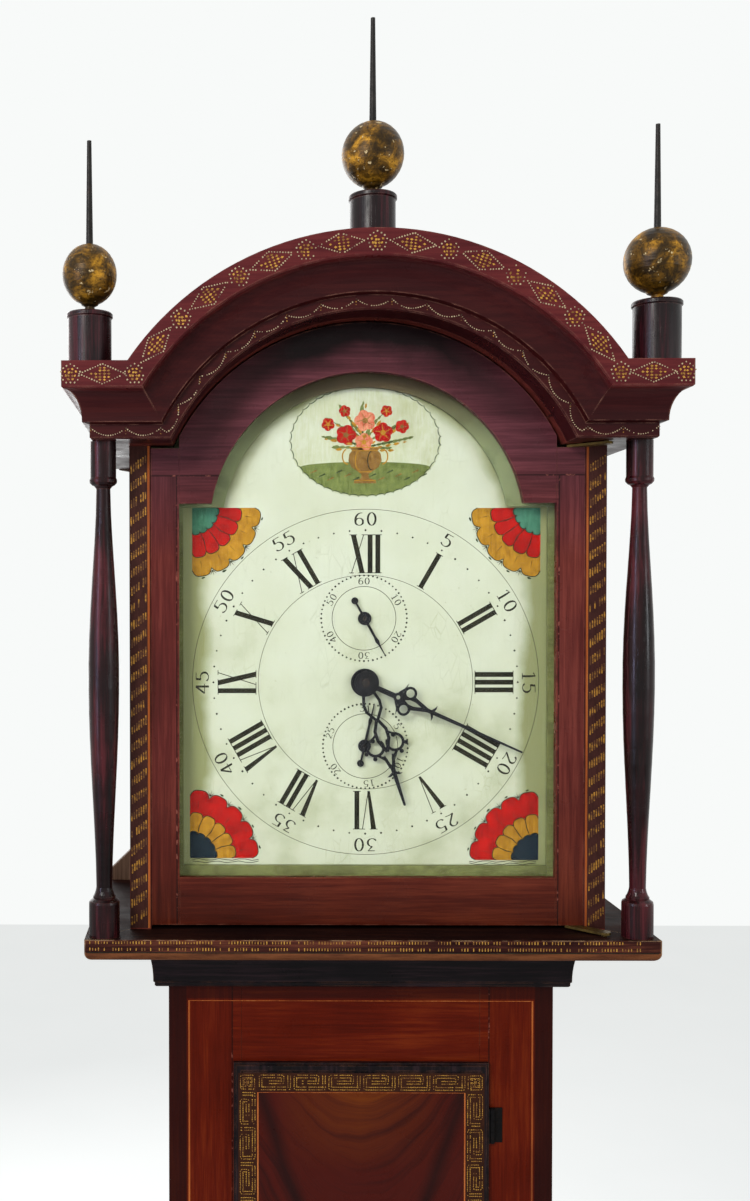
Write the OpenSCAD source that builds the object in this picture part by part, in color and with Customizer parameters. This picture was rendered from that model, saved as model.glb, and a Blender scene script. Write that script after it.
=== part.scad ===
// Tall-case clock with a thirty-hour wooden movement.
// Origin: floor level, middle of the width and of the depth. +X is to the right of
// someone who faces the dial, +Y runs from the dial to the back, +Z is up.

/* [Case] */
// Height of the dial centre above the floor
dial_centre_z = 1735; // [1715:1:1775]
// Width of the waist
waist_w = 332; // [324:1:342]
// Width of the base
base_w = 430; // [416:1:444]
// Height of the top of the base boards
base_top_z = 545; // [500:1:570]
// Height of the underside of the base boards
base_bottom_z = 96; // [80:1:110]
// Thickness of the waist and base side boards
side_t = 12; // [10:0.5:13]
// Thickness of the waist and base front boards
front_t = 16; // [14:0.5:17]
// Thickness of the backboard
back_t = 12; // [10:0.5:14]
// Setback of the waist front behind the front of the hood door
waist_setback = 45; // [43:0.5:48]
// Reach of an ear of the backboard beyond the hood side
ear_run = 30; // [16:1:34]
// Height of the throat moulding
throat_h = 40; // [32:1:46]
// Reach of the throat moulding at its top
throat_run = 24; // [18:0.5:26]
// Height of the moulding between base and waist
base_mould_h = 42; // [32:1:50]
// Width of each arm of a bracket foot
foot_w = 96; // [80:1:110]
// Thickness of the bracket feet
foot_t = 20; // [16:0.5:22]

/* [Waist door] */
// Width of the waist door over its lip
waist_door_w = 220; // [206:1:226]
// Height of the waist door over its lip
waist_door_h = 690; // [640:1:710]
// Height of the rail above the waist door
waist_rail_h = 108; // [96:1:120]
// How far the lip of the waist door stands proud
lip_t = 6; // [5:0.5:7]
// How far the lip covers the frame
lip_lap = 7; // [6:0.5:8]
// Radius of the waist hinge knuckles
knuckle_r = 2.3; // [2.1:0.1:2.6]
// Length of a waist hinge
hinge_l = 30; // [24:1:36]
// Travel of the lock bolt
bolt_travel = 8; // [6:0.5:9]

/* [Hood] */
// Width of the hood over its sides
hood_w = 393; // [386:1:400]
// Depth from the front of the hood door to the backboard
hood_depth = 190; // [184:1:196]
// Thickness of the hood sides
hood_side_t = 12; // [10:0.5:13]
// Thickness of the hood door and of the strips beside it
door_t = 16; // [14:0.5:17]
// Width of the stencilled strip beside the door
strip_w = 17.3; // [15:0.1:19]
// Height of the hood base above the throat moulding
hood_base_h = 17.8; // [16:0.1:20]
// Height of the underside of the hood base, below the dial centre
hood_base_drop = 221.7; // [216:0.1:228]
// Reach of the hood base in front and beside the hood
hood_base_run = 35; // [33:0.5:37]
// Thickness of the roof boards
roof_t = 6; // [5:0.5:8]

/* [Cornice] */
// Height of the swag band's lower edge above the dial centre
band_z = 197.4; // [192:0.1:204]
// Height of the swag band
band_h = 11.6; // [10:0.1:13]
// Height of the cove
cove_h = 25.6; // [22:0.1:28]
// Height of the fascia
fascia_h = 21.4; // [18:0.1:24]
// Reach of the swag band beyond the hood
band_run = 29; // [27:0.1:31]
// Reach of the lower edge of the cove
cove_run = 34.5; // [33:0.1:36]
// Reach of the fascia
fascia_run = 49.2; // [46:0.1:51]
// Extra reach of the arched front over the two sides
front_extra = 11; // [9:0.5:13]
// Height of the arch centre above the dial centre
arch_centre_z = 122; // [118:0.5:126]
// Distance from a hood side in to the foot of the arch
arch_inset = 19.3; // [17.5:0.1:21.5]

/* [Hood door] */
// Width of a door stile
stile_w = 23.2; // [20:0.1:26]
// Width of the door's arched head, from the arch down to the opening
door_head_w = 46.8; // [44.2:0.1:51]
// Height of the centre of the arched opening above the dial centre
opening_arch_z = 126.9; // [124:0.1:130]
// Height of the shoulders of the opening above the dial centre
shoulder_z = 149.1; // [144:0.1:152]
// Height of the bottom rail of the door
door_rail_h = 39.5; // [36:0.1:44]
// Thickness of the glass
glass_t = 1.8; // [1.5:0.1:2.4]
// Distance of the door's pivots inside the hood side
pivot_inset = 6.5; // [5.5:0.1:8.5]
// Distance of the door's pivots in front of the door
pivot_run = 20; // [19.5:0.1:22]
// Radius of the door's pivot pins
pivot_r = 2; // [1.6:0.1:2.4]

/* [Columns] */
// Distance of a column's axis outside the hood side
column_out = 19.8; // [18:0.1:21]
// Distance of a column's axis in front of the hood door
column_run = 20.7; // [18:0.1:21.5]
// Largest diameter of a column
column_d = 25; // [22:0.1:26]
// Diameter of a column's cap
cap_d = 22.6; // [20:0.1:25]
// Diameter of the column under its cap
neck_d = 11.5; // [10:0.1:14]
// Diameter of the column above its base
ankle_d = 13; // [11:0.1:15]
// Height of a column's base
column_base_h = 30; // [24:0.5:34]
// Height of a column's cap
cap_h = 31; // [26:0.5:36]

/* [Finials] */
// Distance of the side finials outside the hood side
finial_out = 29.4; // [23.5:0.1:29.5]
// Distance of the finials in front of the hood door
finial_run = 31; // [28:0.5:36]
// Diameter of the left plinth
left_plinth_d = 34.8; // [30:0.1:37]
// Height of the left plinth
left_plinth_h = 42.5; // [36:0.5:48]
// Diameter of the left ball
left_ball_d = 43.5; // [40:0.1:48]
// Diameter of the centre plinth
centre_plinth_d = 36.2; // [32:0.1:40]
// Height of the centre plinth above the arch
centre_plinth_h = 33; // [26:0.5:40]
// Diameter of the centre ball
centre_ball_d = 49.5; // [44:0.1:54]
// Diameter of the right plinth
right_plinth_d = 37.2; // [32:0.1:38]
// Height of the right plinth
right_plinth_h = 49.8; // [42:0.5:56]
// Diameter of the right ball
right_ball_d = 52; // [46:0.1:54]
// Length of the spikes
spike_l = 82; // [70:0.5:90]
// Height of the turned neck under a ball
neck_h = 8; // [6:0.5:10]

/* [Dial and hands] */
// Distance of the dial's face behind the front of the hood door
dial_setback = 21; // [20:0.1:22]
// Thickness of the dial
dial_t = 8; // [6:0.5:9]
// How far the dial reaches behind the mask at each side
dial_cover = 12.6; // [9:0.1:16]
// Height of the seconds arbor above the dial centre
seconds_rise = 53.8; // [53.2:0.1:54.4]
// Distance of the date arbor below the dial centre
date_drop = 53.6; // [52.8:0.1:54.4]
// Length of the minute hand
minute_hand_l = 143.5; // [130:0.5:148]
// Length of the hour hand
hour_hand_l = 108.8; // [96:0.5:112]
// Length of the seconds hand
seconds_hand_l = 36.5; // [30:0.5:40]
// Length of the date hand
date_hand_l = 36.8; // [30:0.5:40]
// Thickness of the hands
hand_t = 1.2; // [0.9:0.1:1.4]
// Clockwise angle of the minute hand from twelve
minute_angle = 114; // [90:1:130]
// Clockwise angle of the hour hand from twelve
hour_angle = 162; // [150:1:175]
// Clockwise angle of the seconds hand from the top
seconds_angle = 151; // [120:1:170]
// Clockwise angle of the date hand from the top
date_angle = 13; // [0:1:30]

/* [Movement] */
// Width of the plates
plate_w = 196; // [192:1:210]
// Thickness of the plates
plate_t = 9; // [8:0.5:11]
// Distance between the plates
plate_gap = 66; // [65:0.5:69]
// Distance from the dial centre up to the top of the plates
plate_rise = 122; // [119:1:126]
// Distance from the dial centre down to the foot of the plates
plate_drop = 80; // [74:1:86]
// Space between the dial and the front plate
motion_gap = 24; // [22.5:0.5:26]
// Thickness of the seatboard
seat_t = 20; // [16:0.5:24]
// Radius of the wooden arbors
arbor_r = 3; // [2.6:0.1:3.4]
// Radius of the pivots at the ends of the arbors
tenon_r = 1.5; // [1.2:0.1:1.8]
// Running clearance of a pivot in its hole
tenon_clear = 0.08; // [0.04:0.01:0.1]
// Radius of the winding drums
drum_r = 22; // [20:0.5:23]

/* [Pendulum and weights] */
// Length of the pendulum from its pivot to the middle of the bob
pendulum_l = 994; // [900:1:1010]
// Diameter of the bob
bob_d = 104; // [90:1:116]
// Thickness of the bob
bob_t = 20; // [14:0.5:24]
// Diameter of a weight
weight_d = 57; // [50:0.5:58]
// Height of a weight
weight_h = 170; // [140:1:190]
// Distance that a weight falls between windings
weight_fall = 740; // [600:10:760]
// Diameter of the weight lines
line_d = 2.4; // [2:0.1:3]

/* [Hidden] */
$fn = 64;

mahogany = "#4a1f1a";
dark_mahogany = "#33161a";
red_mahogany = "#6b2018";
oak = "#8a6a42";
cherry = "#a0683a";
iron = "#1d1d1f";
brass = "#b08a3c";
gilt = "#94702c";
dial_cream = "#dfe2c8";
mask_grey = "#8d9480";
pine = "#8f8874";

// Gaps
joint_gap = 0.2;    // visible joint line between two boards of one frame
mitre_gap = 0.3;    // joint line at a mitred corner of a moulding
run_gap = 0.4;      // between pieces that slide past each other
part_gap = 0.5;     // between a door and its frame

// Depths, from the front (low y) to the back
front_reach = fascia_run + front_extra;
y_door = front_reach - (front_reach + hood_depth + back_t) / 2;
y_back = y_door + hood_depth;
y_rear = y_back + back_t;
y_waist = y_door + waist_setback;
y_base = y_waist - (base_w - waist_w) / 2;
y_dial = y_door + dial_setback;
y_dial_back = y_dial + dial_t;
y_plate = y_dial_back + motion_gap;
y_works = y_plate + plate_t;
y_back_plate = y_works + plate_gap;
y_behind = y_back_plate + plate_t;

// Heights
z_dial = dial_centre_z;
z_hood = z_dial - hood_base_drop;
z_ledge = z_hood + hood_base_h;
z_band = z_dial + band_z;
cornice_h = band_h + cove_h + fascia_h;
z_top = z_band + cornice_h;
z_arch = z_dial + arch_centre_z;
z_seat_top = z_dial - plate_drop;
z_cheek = z_seat_top - seat_t;
z_waist_top = z_hood - run_gap;
z_door_top = z_waist_top - waist_rail_h;
z_door_bottom = z_door_top - waist_door_h;
verge_rise = 39.6;
z_verge = z_dial + seconds_rise + verge_rise;

// Half widths
waist_hw = waist_w / 2;
base_hw = base_w / 2;
hood_hw = hood_w / 2;
door_hw = hood_hw - strip_w - part_gap;
base_side_run = base_hw - waist_hw;
arch_r = hood_hw - arch_inset;
opening_r = arch_r - door_head_w;
pivot_x = hood_hw - pivot_inset;
column_x = hood_hw + column_out;
finial_x = hood_hw + finial_out;
mask_reveal = 3.1;
mask_hw = door_hw - stile_w - mask_reveal;
dial_hw = mask_hw + dial_cover;

// Teeth: module, then the pairs' centre distances
great_m = 1.8;
centre_m = 1.3;
third_m = 1.2;
pin_m = 1.3;
warning_m = 1.2;
count_m = 1.0;
motion_m = 1.5;
hour_m = 1.44;
day_m = 1.3;
great_teeth = 48;
centre_teeth = 64;
third_teeth = 60;
escape_teeth = 30;
pinion_leaves = 8;
pin_teeth = 56;
warning_leaves = 7;
warning_teeth = 48;
count_teeth = 78;
cannon_teeth = 12;
minute_teeth = 36;
minute_leaves = 10;
hour_teeth = 40;
day_driver_teeth = 20;
day_teeth = 40;
date_teeth = 31;

function gear_distance(a, b, m) = (a + b) * m / 2;
// Point at distance d1 from p and d2 from q, on the side that the sign tells
function meet(p, q, d1, d2, side) =
    let (d = norm(q - p), a = (d1 * d1 - d2 * d2 + d * d) / (2 * d), h = sqrt(d1 * d1 - a * a),
         u = (q - p) / d)
    p + a * u + side * h * [-u[1], u[0]];
// Point at distance d from p, at sideways offset dx, above or below it as the sign tells
function above(p, d, dx, side = 1) = p + [dx, side * sqrt(d * d - dx * dx)];
function bearing(p, q) = atan2(q[1] - p[1], q[0] - p[0]);

// Arbor positions in x and in height over the dial centre
centre_at = [0, 0];
escape_at = [0, seconds_rise];
date_at = [0, -date_drop];
great_x = 46;
strike_x = 52;
time_at = [great_x, -sqrt(pow(gear_distance(great_teeth, pinion_leaves, great_m), 2) - great_x * great_x)];
strike_at = [-strike_x, time_at[1]];
third_at = meet(centre_at, escape_at, gear_distance(centre_teeth, pinion_leaves, centre_m),
                gear_distance(third_teeth, pinion_leaves, third_m), -1);
pin_at = above(strike_at, gear_distance(great_teeth, pinion_leaves, great_m), -8);
warning_at = above(pin_at, gear_distance(pin_teeth, warning_leaves, pin_m), 6);
fly_at = above(warning_at, gear_distance(warning_teeth, pinion_leaves, warning_m), 10);
count_at = above(pin_at, gear_distance(count_teeth, pinion_leaves, count_m), -6, -1);
minute_at = gear_distance(cannon_teeth, minute_teeth, motion_m) * [cos(45), sin(45)];
day_at = gear_distance(day_driver_teeth, day_teeth, day_m) * [-cos(28), -sin(28)];
verge_at = escape_at + [0, verge_rise];
hammer_at = [-82, 94];

// Stations along y behind the front plate
great_y = 12;
great_t = 7;
drum_l = 25;
third_y = 47;
centre_y = 54.5;
escape_y = 26;
warning_y = 36;
wheel_t = 4.5;
drum_y = y_works + great_y + great_t + drum_l / 2;

verge_r = 2.4;
crutch_y = y_behind + 5;
pendulum_y = y_behind + 17;
escape_r = 27.5;
flange_lip = 3;
flange_gap = 0.6;
pin_r = 1.5;
// The striking pins pass beside the flange of the strike drum
pin_circle_r = gear_distance(great_teeth, pinion_leaves, great_m) - drum_r - flange_lip - pin_r - flange_gap;
pin_count = 8;
pin_phase = 35;     // the hammer's tail lies between two pins at rest
cannon_r = 5.2;
hour_pipe_r = 7.8;
pipe_gap = 0.15;
boss_t = 3;

// Hands, counted forward from the dial's face
low_hand_y = y_dial - 1.4;
hour_hand_y = y_dial - 4.2;
minute_hand_y = y_dial - 7.4;

// Placing helpers
module upright() { rotate([90, 0, 0]) children(); }
// A flat outline drawn in x and z, between two y values
module slab(y0, y1) { translate([0, y1, 0]) upright() linear_extrude(y1 - y0) children(); }
module box(x0, x1, y0, y1, z0, z1) { translate([x0, y0, z0]) cube([x1 - x0, y1 - y0, z1 - z0]); }
module both_sides() {
    children();
    mirror([1, 0, 0]) children();
}
// At an arbor: the child's z axis runs from the dial to the back, from y onwards
module at_arbor(p, y) { translate([p[0], y, z_dial + p[1]]) rotate([-90, 0, 0]) children(); }
module rod(r, l) { cylinder(r = r, h = l); }

// Outline of a toothed wheel. Each tooth narrows from its root to its tip.
module teeth_outline(teeth, m, root_part, tip_part) {
    pitch_r = teeth * m / 2;
    step = 360 / teeth;
    tip_r = pitch_r + m * 0.85;
    root_r = pitch_r - m * 1.2;
    flank_part = 0.185;
    polygon([for (i = [0 : teeth - 1])
        for (c = [[root_r, -root_part], [pitch_r, -flank_part], [tip_r, -tip_part], [tip_r, tip_part],
                  [pitch_r, flank_part], [root_r, root_part]])
            let (a = (i + c[1]) * step) [c[0] * cos(a), c[0] * sin(a)]]);
}
// A wheel in the plane of the plates, seen from the front, turned so that it meshes at angle a
module wheel(teeth, m, t, a, leaf = false) {
    mesh_a = leaf ? -a + 180 / teeth : -a;
    rotate(mesh_a) linear_extrude(t)
        teeth_outline(teeth, m, leaf ? 0.24 : 0.25, leaf ? 0.08 : 0.09);
}
// Arbor between the plates with a tenon at each end
module arbor(r = arbor_r, shake = 0.6) {
    translate([0, 0, shake]) rod(r, plate_gap - 2 * shake);
    translate([0, 0, -plate_t + 1]) rod(tenon_r, plate_gap + 2 * plate_t - 2);
}
// Ring of a turned groove, cut from a wheel's face
module face_groove(r0, r1, depth, z) {
    translate([0, 0, z]) difference() {
        cylinder(r = r1, h = depth);
        translate([0, 0, -1]) cylinder(r = r0, h = depth + 2);
    }
}

// Profiles of the mouldings: x is the reach from the board behind, y the height.
// A hollow from p to q: it leaves p upwards and arrives at q sideways
function hollow(p, q, steps = 10) =
    [for (i = [0 : steps]) let (t = 90 * i / steps)
        [p[0] + (q[0] - p[0]) * (1 - cos(t)), p[1] + (q[1] - p[1]) * sin(t)]];
// The other hollow from p to q: it leaves p sideways and arrives at q upwards
function scoop(p, q, steps = 10) =
    [for (i = [0 : steps]) let (t = 90 * i / steps)
        [p[0] + (q[0] - p[0]) * sin(t), p[1] + (q[1] - p[1]) * (1 - cos(t))]];

lip = 1.2;          // small square step between two parts of a moulding
cornice_profile = concat(
    [[0, 0], [band_run - lip, 0], [band_run, lip], [band_run, band_h]],
    hollow([cove_run, band_h + lip], [fascia_run - lip, band_h + cove_h]),
    [[fascia_run, band_h + cove_h + lip], [fascia_run, cornice_h], [0, cornice_h]]);
throat_foot = 10.5;
throat_profile = concat(
    [[0, 0], [throat_foot, 0], [throat_foot + lip, lip], [throat_foot + lip, 3 * lip]],
    hollow([throat_foot + 2 * lip, 4 * lip], [throat_run - lip, throat_h - 3 * lip]),
    [[throat_run, throat_h - 2 * lip], [throat_run, throat_h], [0, throat_h]]);
base_profile = concat(
    [[0, 0], [base_side_run + 5 * lip, 0], [base_side_run + 5 * lip, 5 * lip]],
    scoop([base_side_run + 4 * lip, 6 * lip], [5 * lip, base_mould_h - 4 * lip]),
    [[5 * lip, base_mould_h], [0, base_mould_h]]);
ledge_round = 7.3;
ledge_inner = waist_hw + part_gap + run_gap - hood_hw;
ledge_profile = concat(
    [[ledge_inner, 0]],
    [for (t = [0 : 10 : 90])
        [hood_base_run - ledge_round * (1 - sin(t)), ledge_round * (1 - cos(t))]],
    [[hood_base_run, hood_base_h], [ledge_inner, hood_base_h]]);

// The front run of a moulding round a body of half width hw, mitred at both ends
module front_run(profile, hw, y, low, high) {
    half = hw + high;
    cut = mitre_gap / 2;
    intersection() {
        translate([half, y, 0]) rotate([90, 0, -90]) linear_extrude(2 * half) polygon(profile);
        translate([0, 0, -1]) linear_extrude(z_top)
            polygon([[-hw - high + cut, y - high], [hw + high - cut, y - high],
                     [hw + low - cut, y - low], [-hw - low + cut, y - low]]);
    }
}
// The right-hand return of the same moulding, back to y_end
module return_run(profile, hw, y, low, high, y_end) {
    cut = mitre_gap / 2;
    intersection() {
        translate([hw, y_end, 0]) upright() linear_extrude(y_end - y + high) polygon(profile);
        translate([0, 0, -1]) linear_extrude(z_top)
            polygon([[hw + low, y - low + cut], [hw + high, y - high + cut],
                     [hw + high, y_end], [hw + low, y_end]]);
    }
}
module mitred_moulding(profile, hw, y, low, high, y_end) {
    front_run(profile, hw, y, low, high);
    both_sides() return_run(profile, hw, y, low, high, y_end);
}

// Case
upper_ear_run = 22;
ear_drop = 164;
ear_slope = 29;
roof_drop = 3;
z_roof = z_top - roof_drop;
roof_r = arch_r + cornice_h - roof_drop;

module backboard() {
    ear_top = z_dial - ear_drop;
    ear_shoulder = ear_top - ear_slope;
    color(pine) slab(y_back, y_rear) {
        polygon(concat(
            [[-base_hw, base_bottom_z], [base_hw, base_bottom_z], [base_hw, base_top_z],
             [waist_hw, base_top_z], [waist_hw, z_hood], [hood_hw + ear_run, z_hood],
             [hood_hw + ear_run, ear_shoulder], [hood_hw, ear_top],
             [hood_hw, z_band - 4], [hood_hw + upper_ear_run, z_band],
             [hood_hw + upper_ear_run, z_roof], [-hood_hw - upper_ear_run, z_roof],
             [-hood_hw - upper_ear_run, z_band], [-hood_hw, z_band - 4]],
            [[-hood_hw, ear_top], [-hood_hw - ear_run, ear_shoulder], [-hood_hw - ear_run, z_hood],
             [-waist_hw, z_hood], [-waist_hw, base_top_z], [-base_hw, base_top_z]]));
        intersection() {
            translate([0, z_arch]) circle(r = roof_r, $fn = 128);
            translate([-hood_hw, z_roof - 1]) square([hood_w, hood_w]);
        }
    }
}
module waist_sides() {
    color(dark_mahogany) both_sides()
        box(waist_hw - side_t, waist_hw, y_waist + front_t, y_back, base_top_z, z_cheek);
}
frame_open_hw = waist_door_w / 2 - lip_lap;
z_open_top = z_door_top - lip_lap;
z_open_bottom = z_door_bottom + lip_lap;
module waist_front_frame() {
    color(red_mahogany) {
        both_sides() box(frame_open_hw, waist_hw, y_waist, y_waist + front_t, base_top_z, z_waist_top);
        box(-frame_open_hw + joint_gap, frame_open_hw - joint_gap, y_waist, y_waist + front_t,
            z_open_top, z_waist_top);
        box(-frame_open_hw + joint_gap, frame_open_hw - joint_gap, y_waist, y_waist + front_t,
            base_top_z, z_open_bottom);
    }
}
module throat_moulding() {
    color(dark_mahogany) translate([0, 0, z_waist_top - throat_h])
        mitred_moulding(throat_profile, waist_hw, y_waist, 0, throat_run, y_back);
}
module base_moulding() {
    color(dark_mahogany) translate([0, 0, base_top_z])
        mitred_moulding(base_profile, waist_hw, y_waist, 0, base_side_run + 5 * lip, y_back);
}
module base_front() {
    color(red_mahogany)
        box(-base_hw, base_hw, y_base, y_base + front_t, base_bottom_z, base_top_z);
}
module base_sides() {
    color(dark_mahogany) both_sides()
        box(base_hw - side_t, base_hw, y_base + front_t, y_back, base_bottom_z, base_top_z);
}
floor_t = 14;
module base_floor() {
    color(pine) box(-base_hw + side_t, base_hw - side_t, y_base + front_t, y_back,
                    base_bottom_z, base_bottom_z + floor_t);
}
// Outline of one arm of a bracket foot: full height at its corner, scrolled to its toe
module bracket_outline() {
    difference() {
        square([foot_w, base_bottom_z]);
        translate([foot_w + 2, 0]) circle(r = 0.66 * base_bottom_z);
        translate([foot_w - 8, 0.6 * base_bottom_z]) circle(r = 0.2 * base_bottom_z);
    }
}
module bracket_feet() {
    color(dark_mahogany) both_sides() {
        translate([-base_hw, y_base + foot_t, 0]) upright() linear_extrude(foot_t) bracket_outline();
        translate([-base_hw, y_base, 0]) rotate([90, 0, 90]) linear_extrude(foot_t) bracket_outline();
        translate([-base_hw, y_rear, 0]) mirror([0, 1, 0])
            rotate([90, 0, 90]) linear_extrude(foot_t) bracket_outline();
    }
}
line_hole_r = 7;
line_out = drum_r + mitre_gap + line_d / 2;
time_line_x = great_x + line_out;
strike_line_x = -strike_x - line_out;
module seatboard() {
    color(pine) difference() {
        box(-waist_hw, waist_hw, y_plate - 2, y_behind + 6, z_cheek, z_seat_top);
        for (x = [time_line_x, strike_line_x])
            translate([x, drum_y, z_cheek - 1]) cylinder(r = line_hole_r, h = seat_t + 2);
    }
}

// Waist door, its hinges and its lock
hinge_x = waist_door_w / 2 + knuckle_r + 1.1;
hinge_y = y_waist - knuckle_r - 0.2;
hinge_leaf_t = 1.1;
hinge_inset = 85;
door_back_t = 12;
hinge_zs = [z_door_bottom + hinge_inset, z_door_top - hinge_inset + hinge_l / 2];
hinge_pin_r = 1.1;
lock_z = z_door_bottom + waist_door_h / 2;
module waist_door_lip_outline(inset) {
    translate([-waist_door_w / 2 + inset, z_door_bottom + inset])
        square([waist_door_w - 2 * inset, waist_door_h - 2 * inset]);
}
module waist_door() {
    bead = 6.5;
    color(red_mahogany) difference() {
        union() {
            slab(y_waist - lip_t + 1.5, y_waist) waist_door_lip_outline(0);
            slab(y_waist - lip_t, y_waist) waist_door_lip_outline(2);
            slab(y_waist - lip_t, y_waist + door_back_t) waist_door_lip_outline(lip_lap + part_gap);
        }
        difference() {
            slab(y_waist - lip_t - 1, y_waist - lip_t + 1) waist_door_lip_outline(bead);
            slab(y_waist - lip_t - 2, y_waist - lip_t + 2) waist_door_lip_outline(bead + 1.5);
        }
        translate([keyhole_x, y_waist, lock_z]) upright()
            cylinder(r = keyhole_r, h = 4 * front_t, center = true);
        box(keyhole_x - 1.2, keyhole_x + 1.2, y_waist - lip_t - 1, y_waist + door_back_t + 1,
            lock_z - 10, lock_z);
    }
}
// The middle third of a hinge's height is the door's knuckle, the other two the frame's
module waist_hinge_frames() {
    color(iron) for (z = hinge_zs) {
        difference() {
            union() {
                box(hinge_x, hinge_x + 9, y_waist - hinge_leaf_t, y_waist, z, z + hinge_l);
                box(hinge_x, hinge_x + knuckle_r, hinge_y, y_waist - hinge_leaf_t / 2, z, z + hinge_l / 3);
                box(hinge_x, hinge_x + knuckle_r, hinge_y, y_waist - hinge_leaf_t / 2,
                    z + 2 * hinge_l / 3, z + hinge_l);
                translate([hinge_x, hinge_y, z]) cylinder(r = knuckle_r, h = hinge_l / 3 - 0.15);
                translate([hinge_x, hinge_y, z + 2 * hinge_l / 3 + 0.15])
                    cylinder(r = knuckle_r, h = hinge_l / 3 - 0.15);
            }
            translate([hinge_x, hinge_y, z + hinge_l / 3 - 0.15])
                cylinder(r = knuckle_r + 0.3, h = hinge_l / 3 + 0.3);
            translate([hinge_x, hinge_y, z - 1]) cylinder(r = hinge_pin_r + 0.06, h = hinge_l + 2);
        }
    }
}
module waist_door_hinges() {
    edge_x = waist_door_w / 2;
    color(iron) for (z = hinge_zs) {
        box(edge_x, edge_x + hinge_leaf_t, y_waist - lip_t + 1, y_waist - part_gap, z, z + hinge_l);
        box(edge_x, hinge_x, hinge_y - 0.8, hinge_y + 0.8, z + hinge_l / 3 + 0.15, z + 2 * hinge_l / 3 - 0.15);
        translate([hinge_x, hinge_y, z + hinge_l / 3 + 0.15]) cylinder(r = knuckle_r, h = hinge_l / 3 - 0.3);
        translate([hinge_x, hinge_y, z - 0.6]) cylinder(r = hinge_pin_r, h = hinge_l + 1.2);
    }
}
lock_w = 40;
lock_h = 56;
lock_drop = 8;      // middle of the case under the keyhole
lock_wall = 0.5;
bolt_h = 14;
bolt_t = 2;
bolt_gap = 0.2;
bolt_rise = 3;
bolt_stop = 12;     // from the end of the bolt's way to the end of the case
lock_x = -frame_open_hw + 2;
keyhole_x = -frame_open_hw + 22;
keyhole_r = 2.6;
y_lock = y_waist + door_back_t;
y_bolt = y_waist + front_t + part_gap;
module waist_door_lock() {
    color(iron) difference() {
        box(lock_x, lock_x + lock_w, y_lock, y_bolt + bolt_t + bolt_gap + lock_wall,
            lock_z - lock_drop - lock_h / 2, lock_z - lock_drop + lock_h / 2);
        box(lock_x - 1, lock_x + lock_w - bolt_stop, y_bolt - bolt_gap, y_bolt + bolt_t + bolt_gap,
            lock_z + bolt_rise - bolt_gap, lock_z + bolt_rise + bolt_h + bolt_gap);
        translate([keyhole_x, y_lock, lock_z]) upright()
            cylinder(r = keyhole_r, h = 2 * lock_drop, center = true);
    }
    color(brass) translate([keyhole_x, y_waist - lip_t, lock_z - lock_drop / 2]) upright() difference() {
        linear_extrude(0.8) polygon([[-9, 0], [0, -17], [9, 0], [0, 17]]);
        translate([0, lock_drop / 2, -1]) cylinder(r = keyhole_r, h = 3);
        translate([-1.2, -6, -1]) cube([2.4, 10, 3]);
    }
}
module lock_bolt() {
    color(iron) box(lock_x + 2 * bolt_gap, lock_x + lock_w - bolt_stop - bolt_travel,
                    y_bolt, y_bolt + bolt_t, lock_z + bolt_rise, lock_z + bolt_rise + bolt_h);
}

// Hood
module hood_base() {
    color(dark_mahogany) difference() {
        translate([0, 0, z_hood]) {
            mitred_moulding(ledge_profile, hood_hw, y_door, ledge_inner, hood_base_run,
                            y_back - run_gap);
            box(-hood_hw - ledge_inner + 1, hood_hw + ledge_inner - 1, y_door - ledge_inner - 0.5,
                y_waist - part_gap - run_gap, 0, hood_base_h);
        }
        translate([pivot_x, y_door - pivot_run, z_ledge - 9]) cylinder(r = pivot_r + tenon_clear, h = 10);
    }
}
z_roof_under = z_roof - roof_t;
module hood_sides() {
    color(dark_mahogany) both_sides()
        box(hood_hw - hood_side_t, hood_hw, y_door + door_t, y_back - run_gap, z_ledge, z_roof_under);
}
module roof_outline(r, z) {
    intersection() {
        translate([0, z_arch]) circle(r = r, $fn = 128);
        translate([-hood_hw, z - 1]) square([hood_w, hood_w]);
    }
    translate([-hood_hw, z_band]) square([hood_w, z - z_band]);
}
module hood_front_frame() {
    color(mahogany) {
        both_sides() box(hood_hw - strip_w, hood_hw, y_door, y_door + door_t, z_ledge, z_band - joint_gap);
        slab(y_door - front_extra, y_door + door_t) difference() {
            roof_outline(roof_r - roof_t, z_roof_under);
            translate([0, z_arch]) circle(r = arch_r, $fn = 128);
        }
    }
}
module hood_roof() {
    color(dark_mahogany) slab(y_door - front_extra, y_back - run_gap) difference() {
        roof_outline(roof_r, z_roof);
        roof_outline(roof_r - roof_t, z_roof_under);
    }
}
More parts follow.
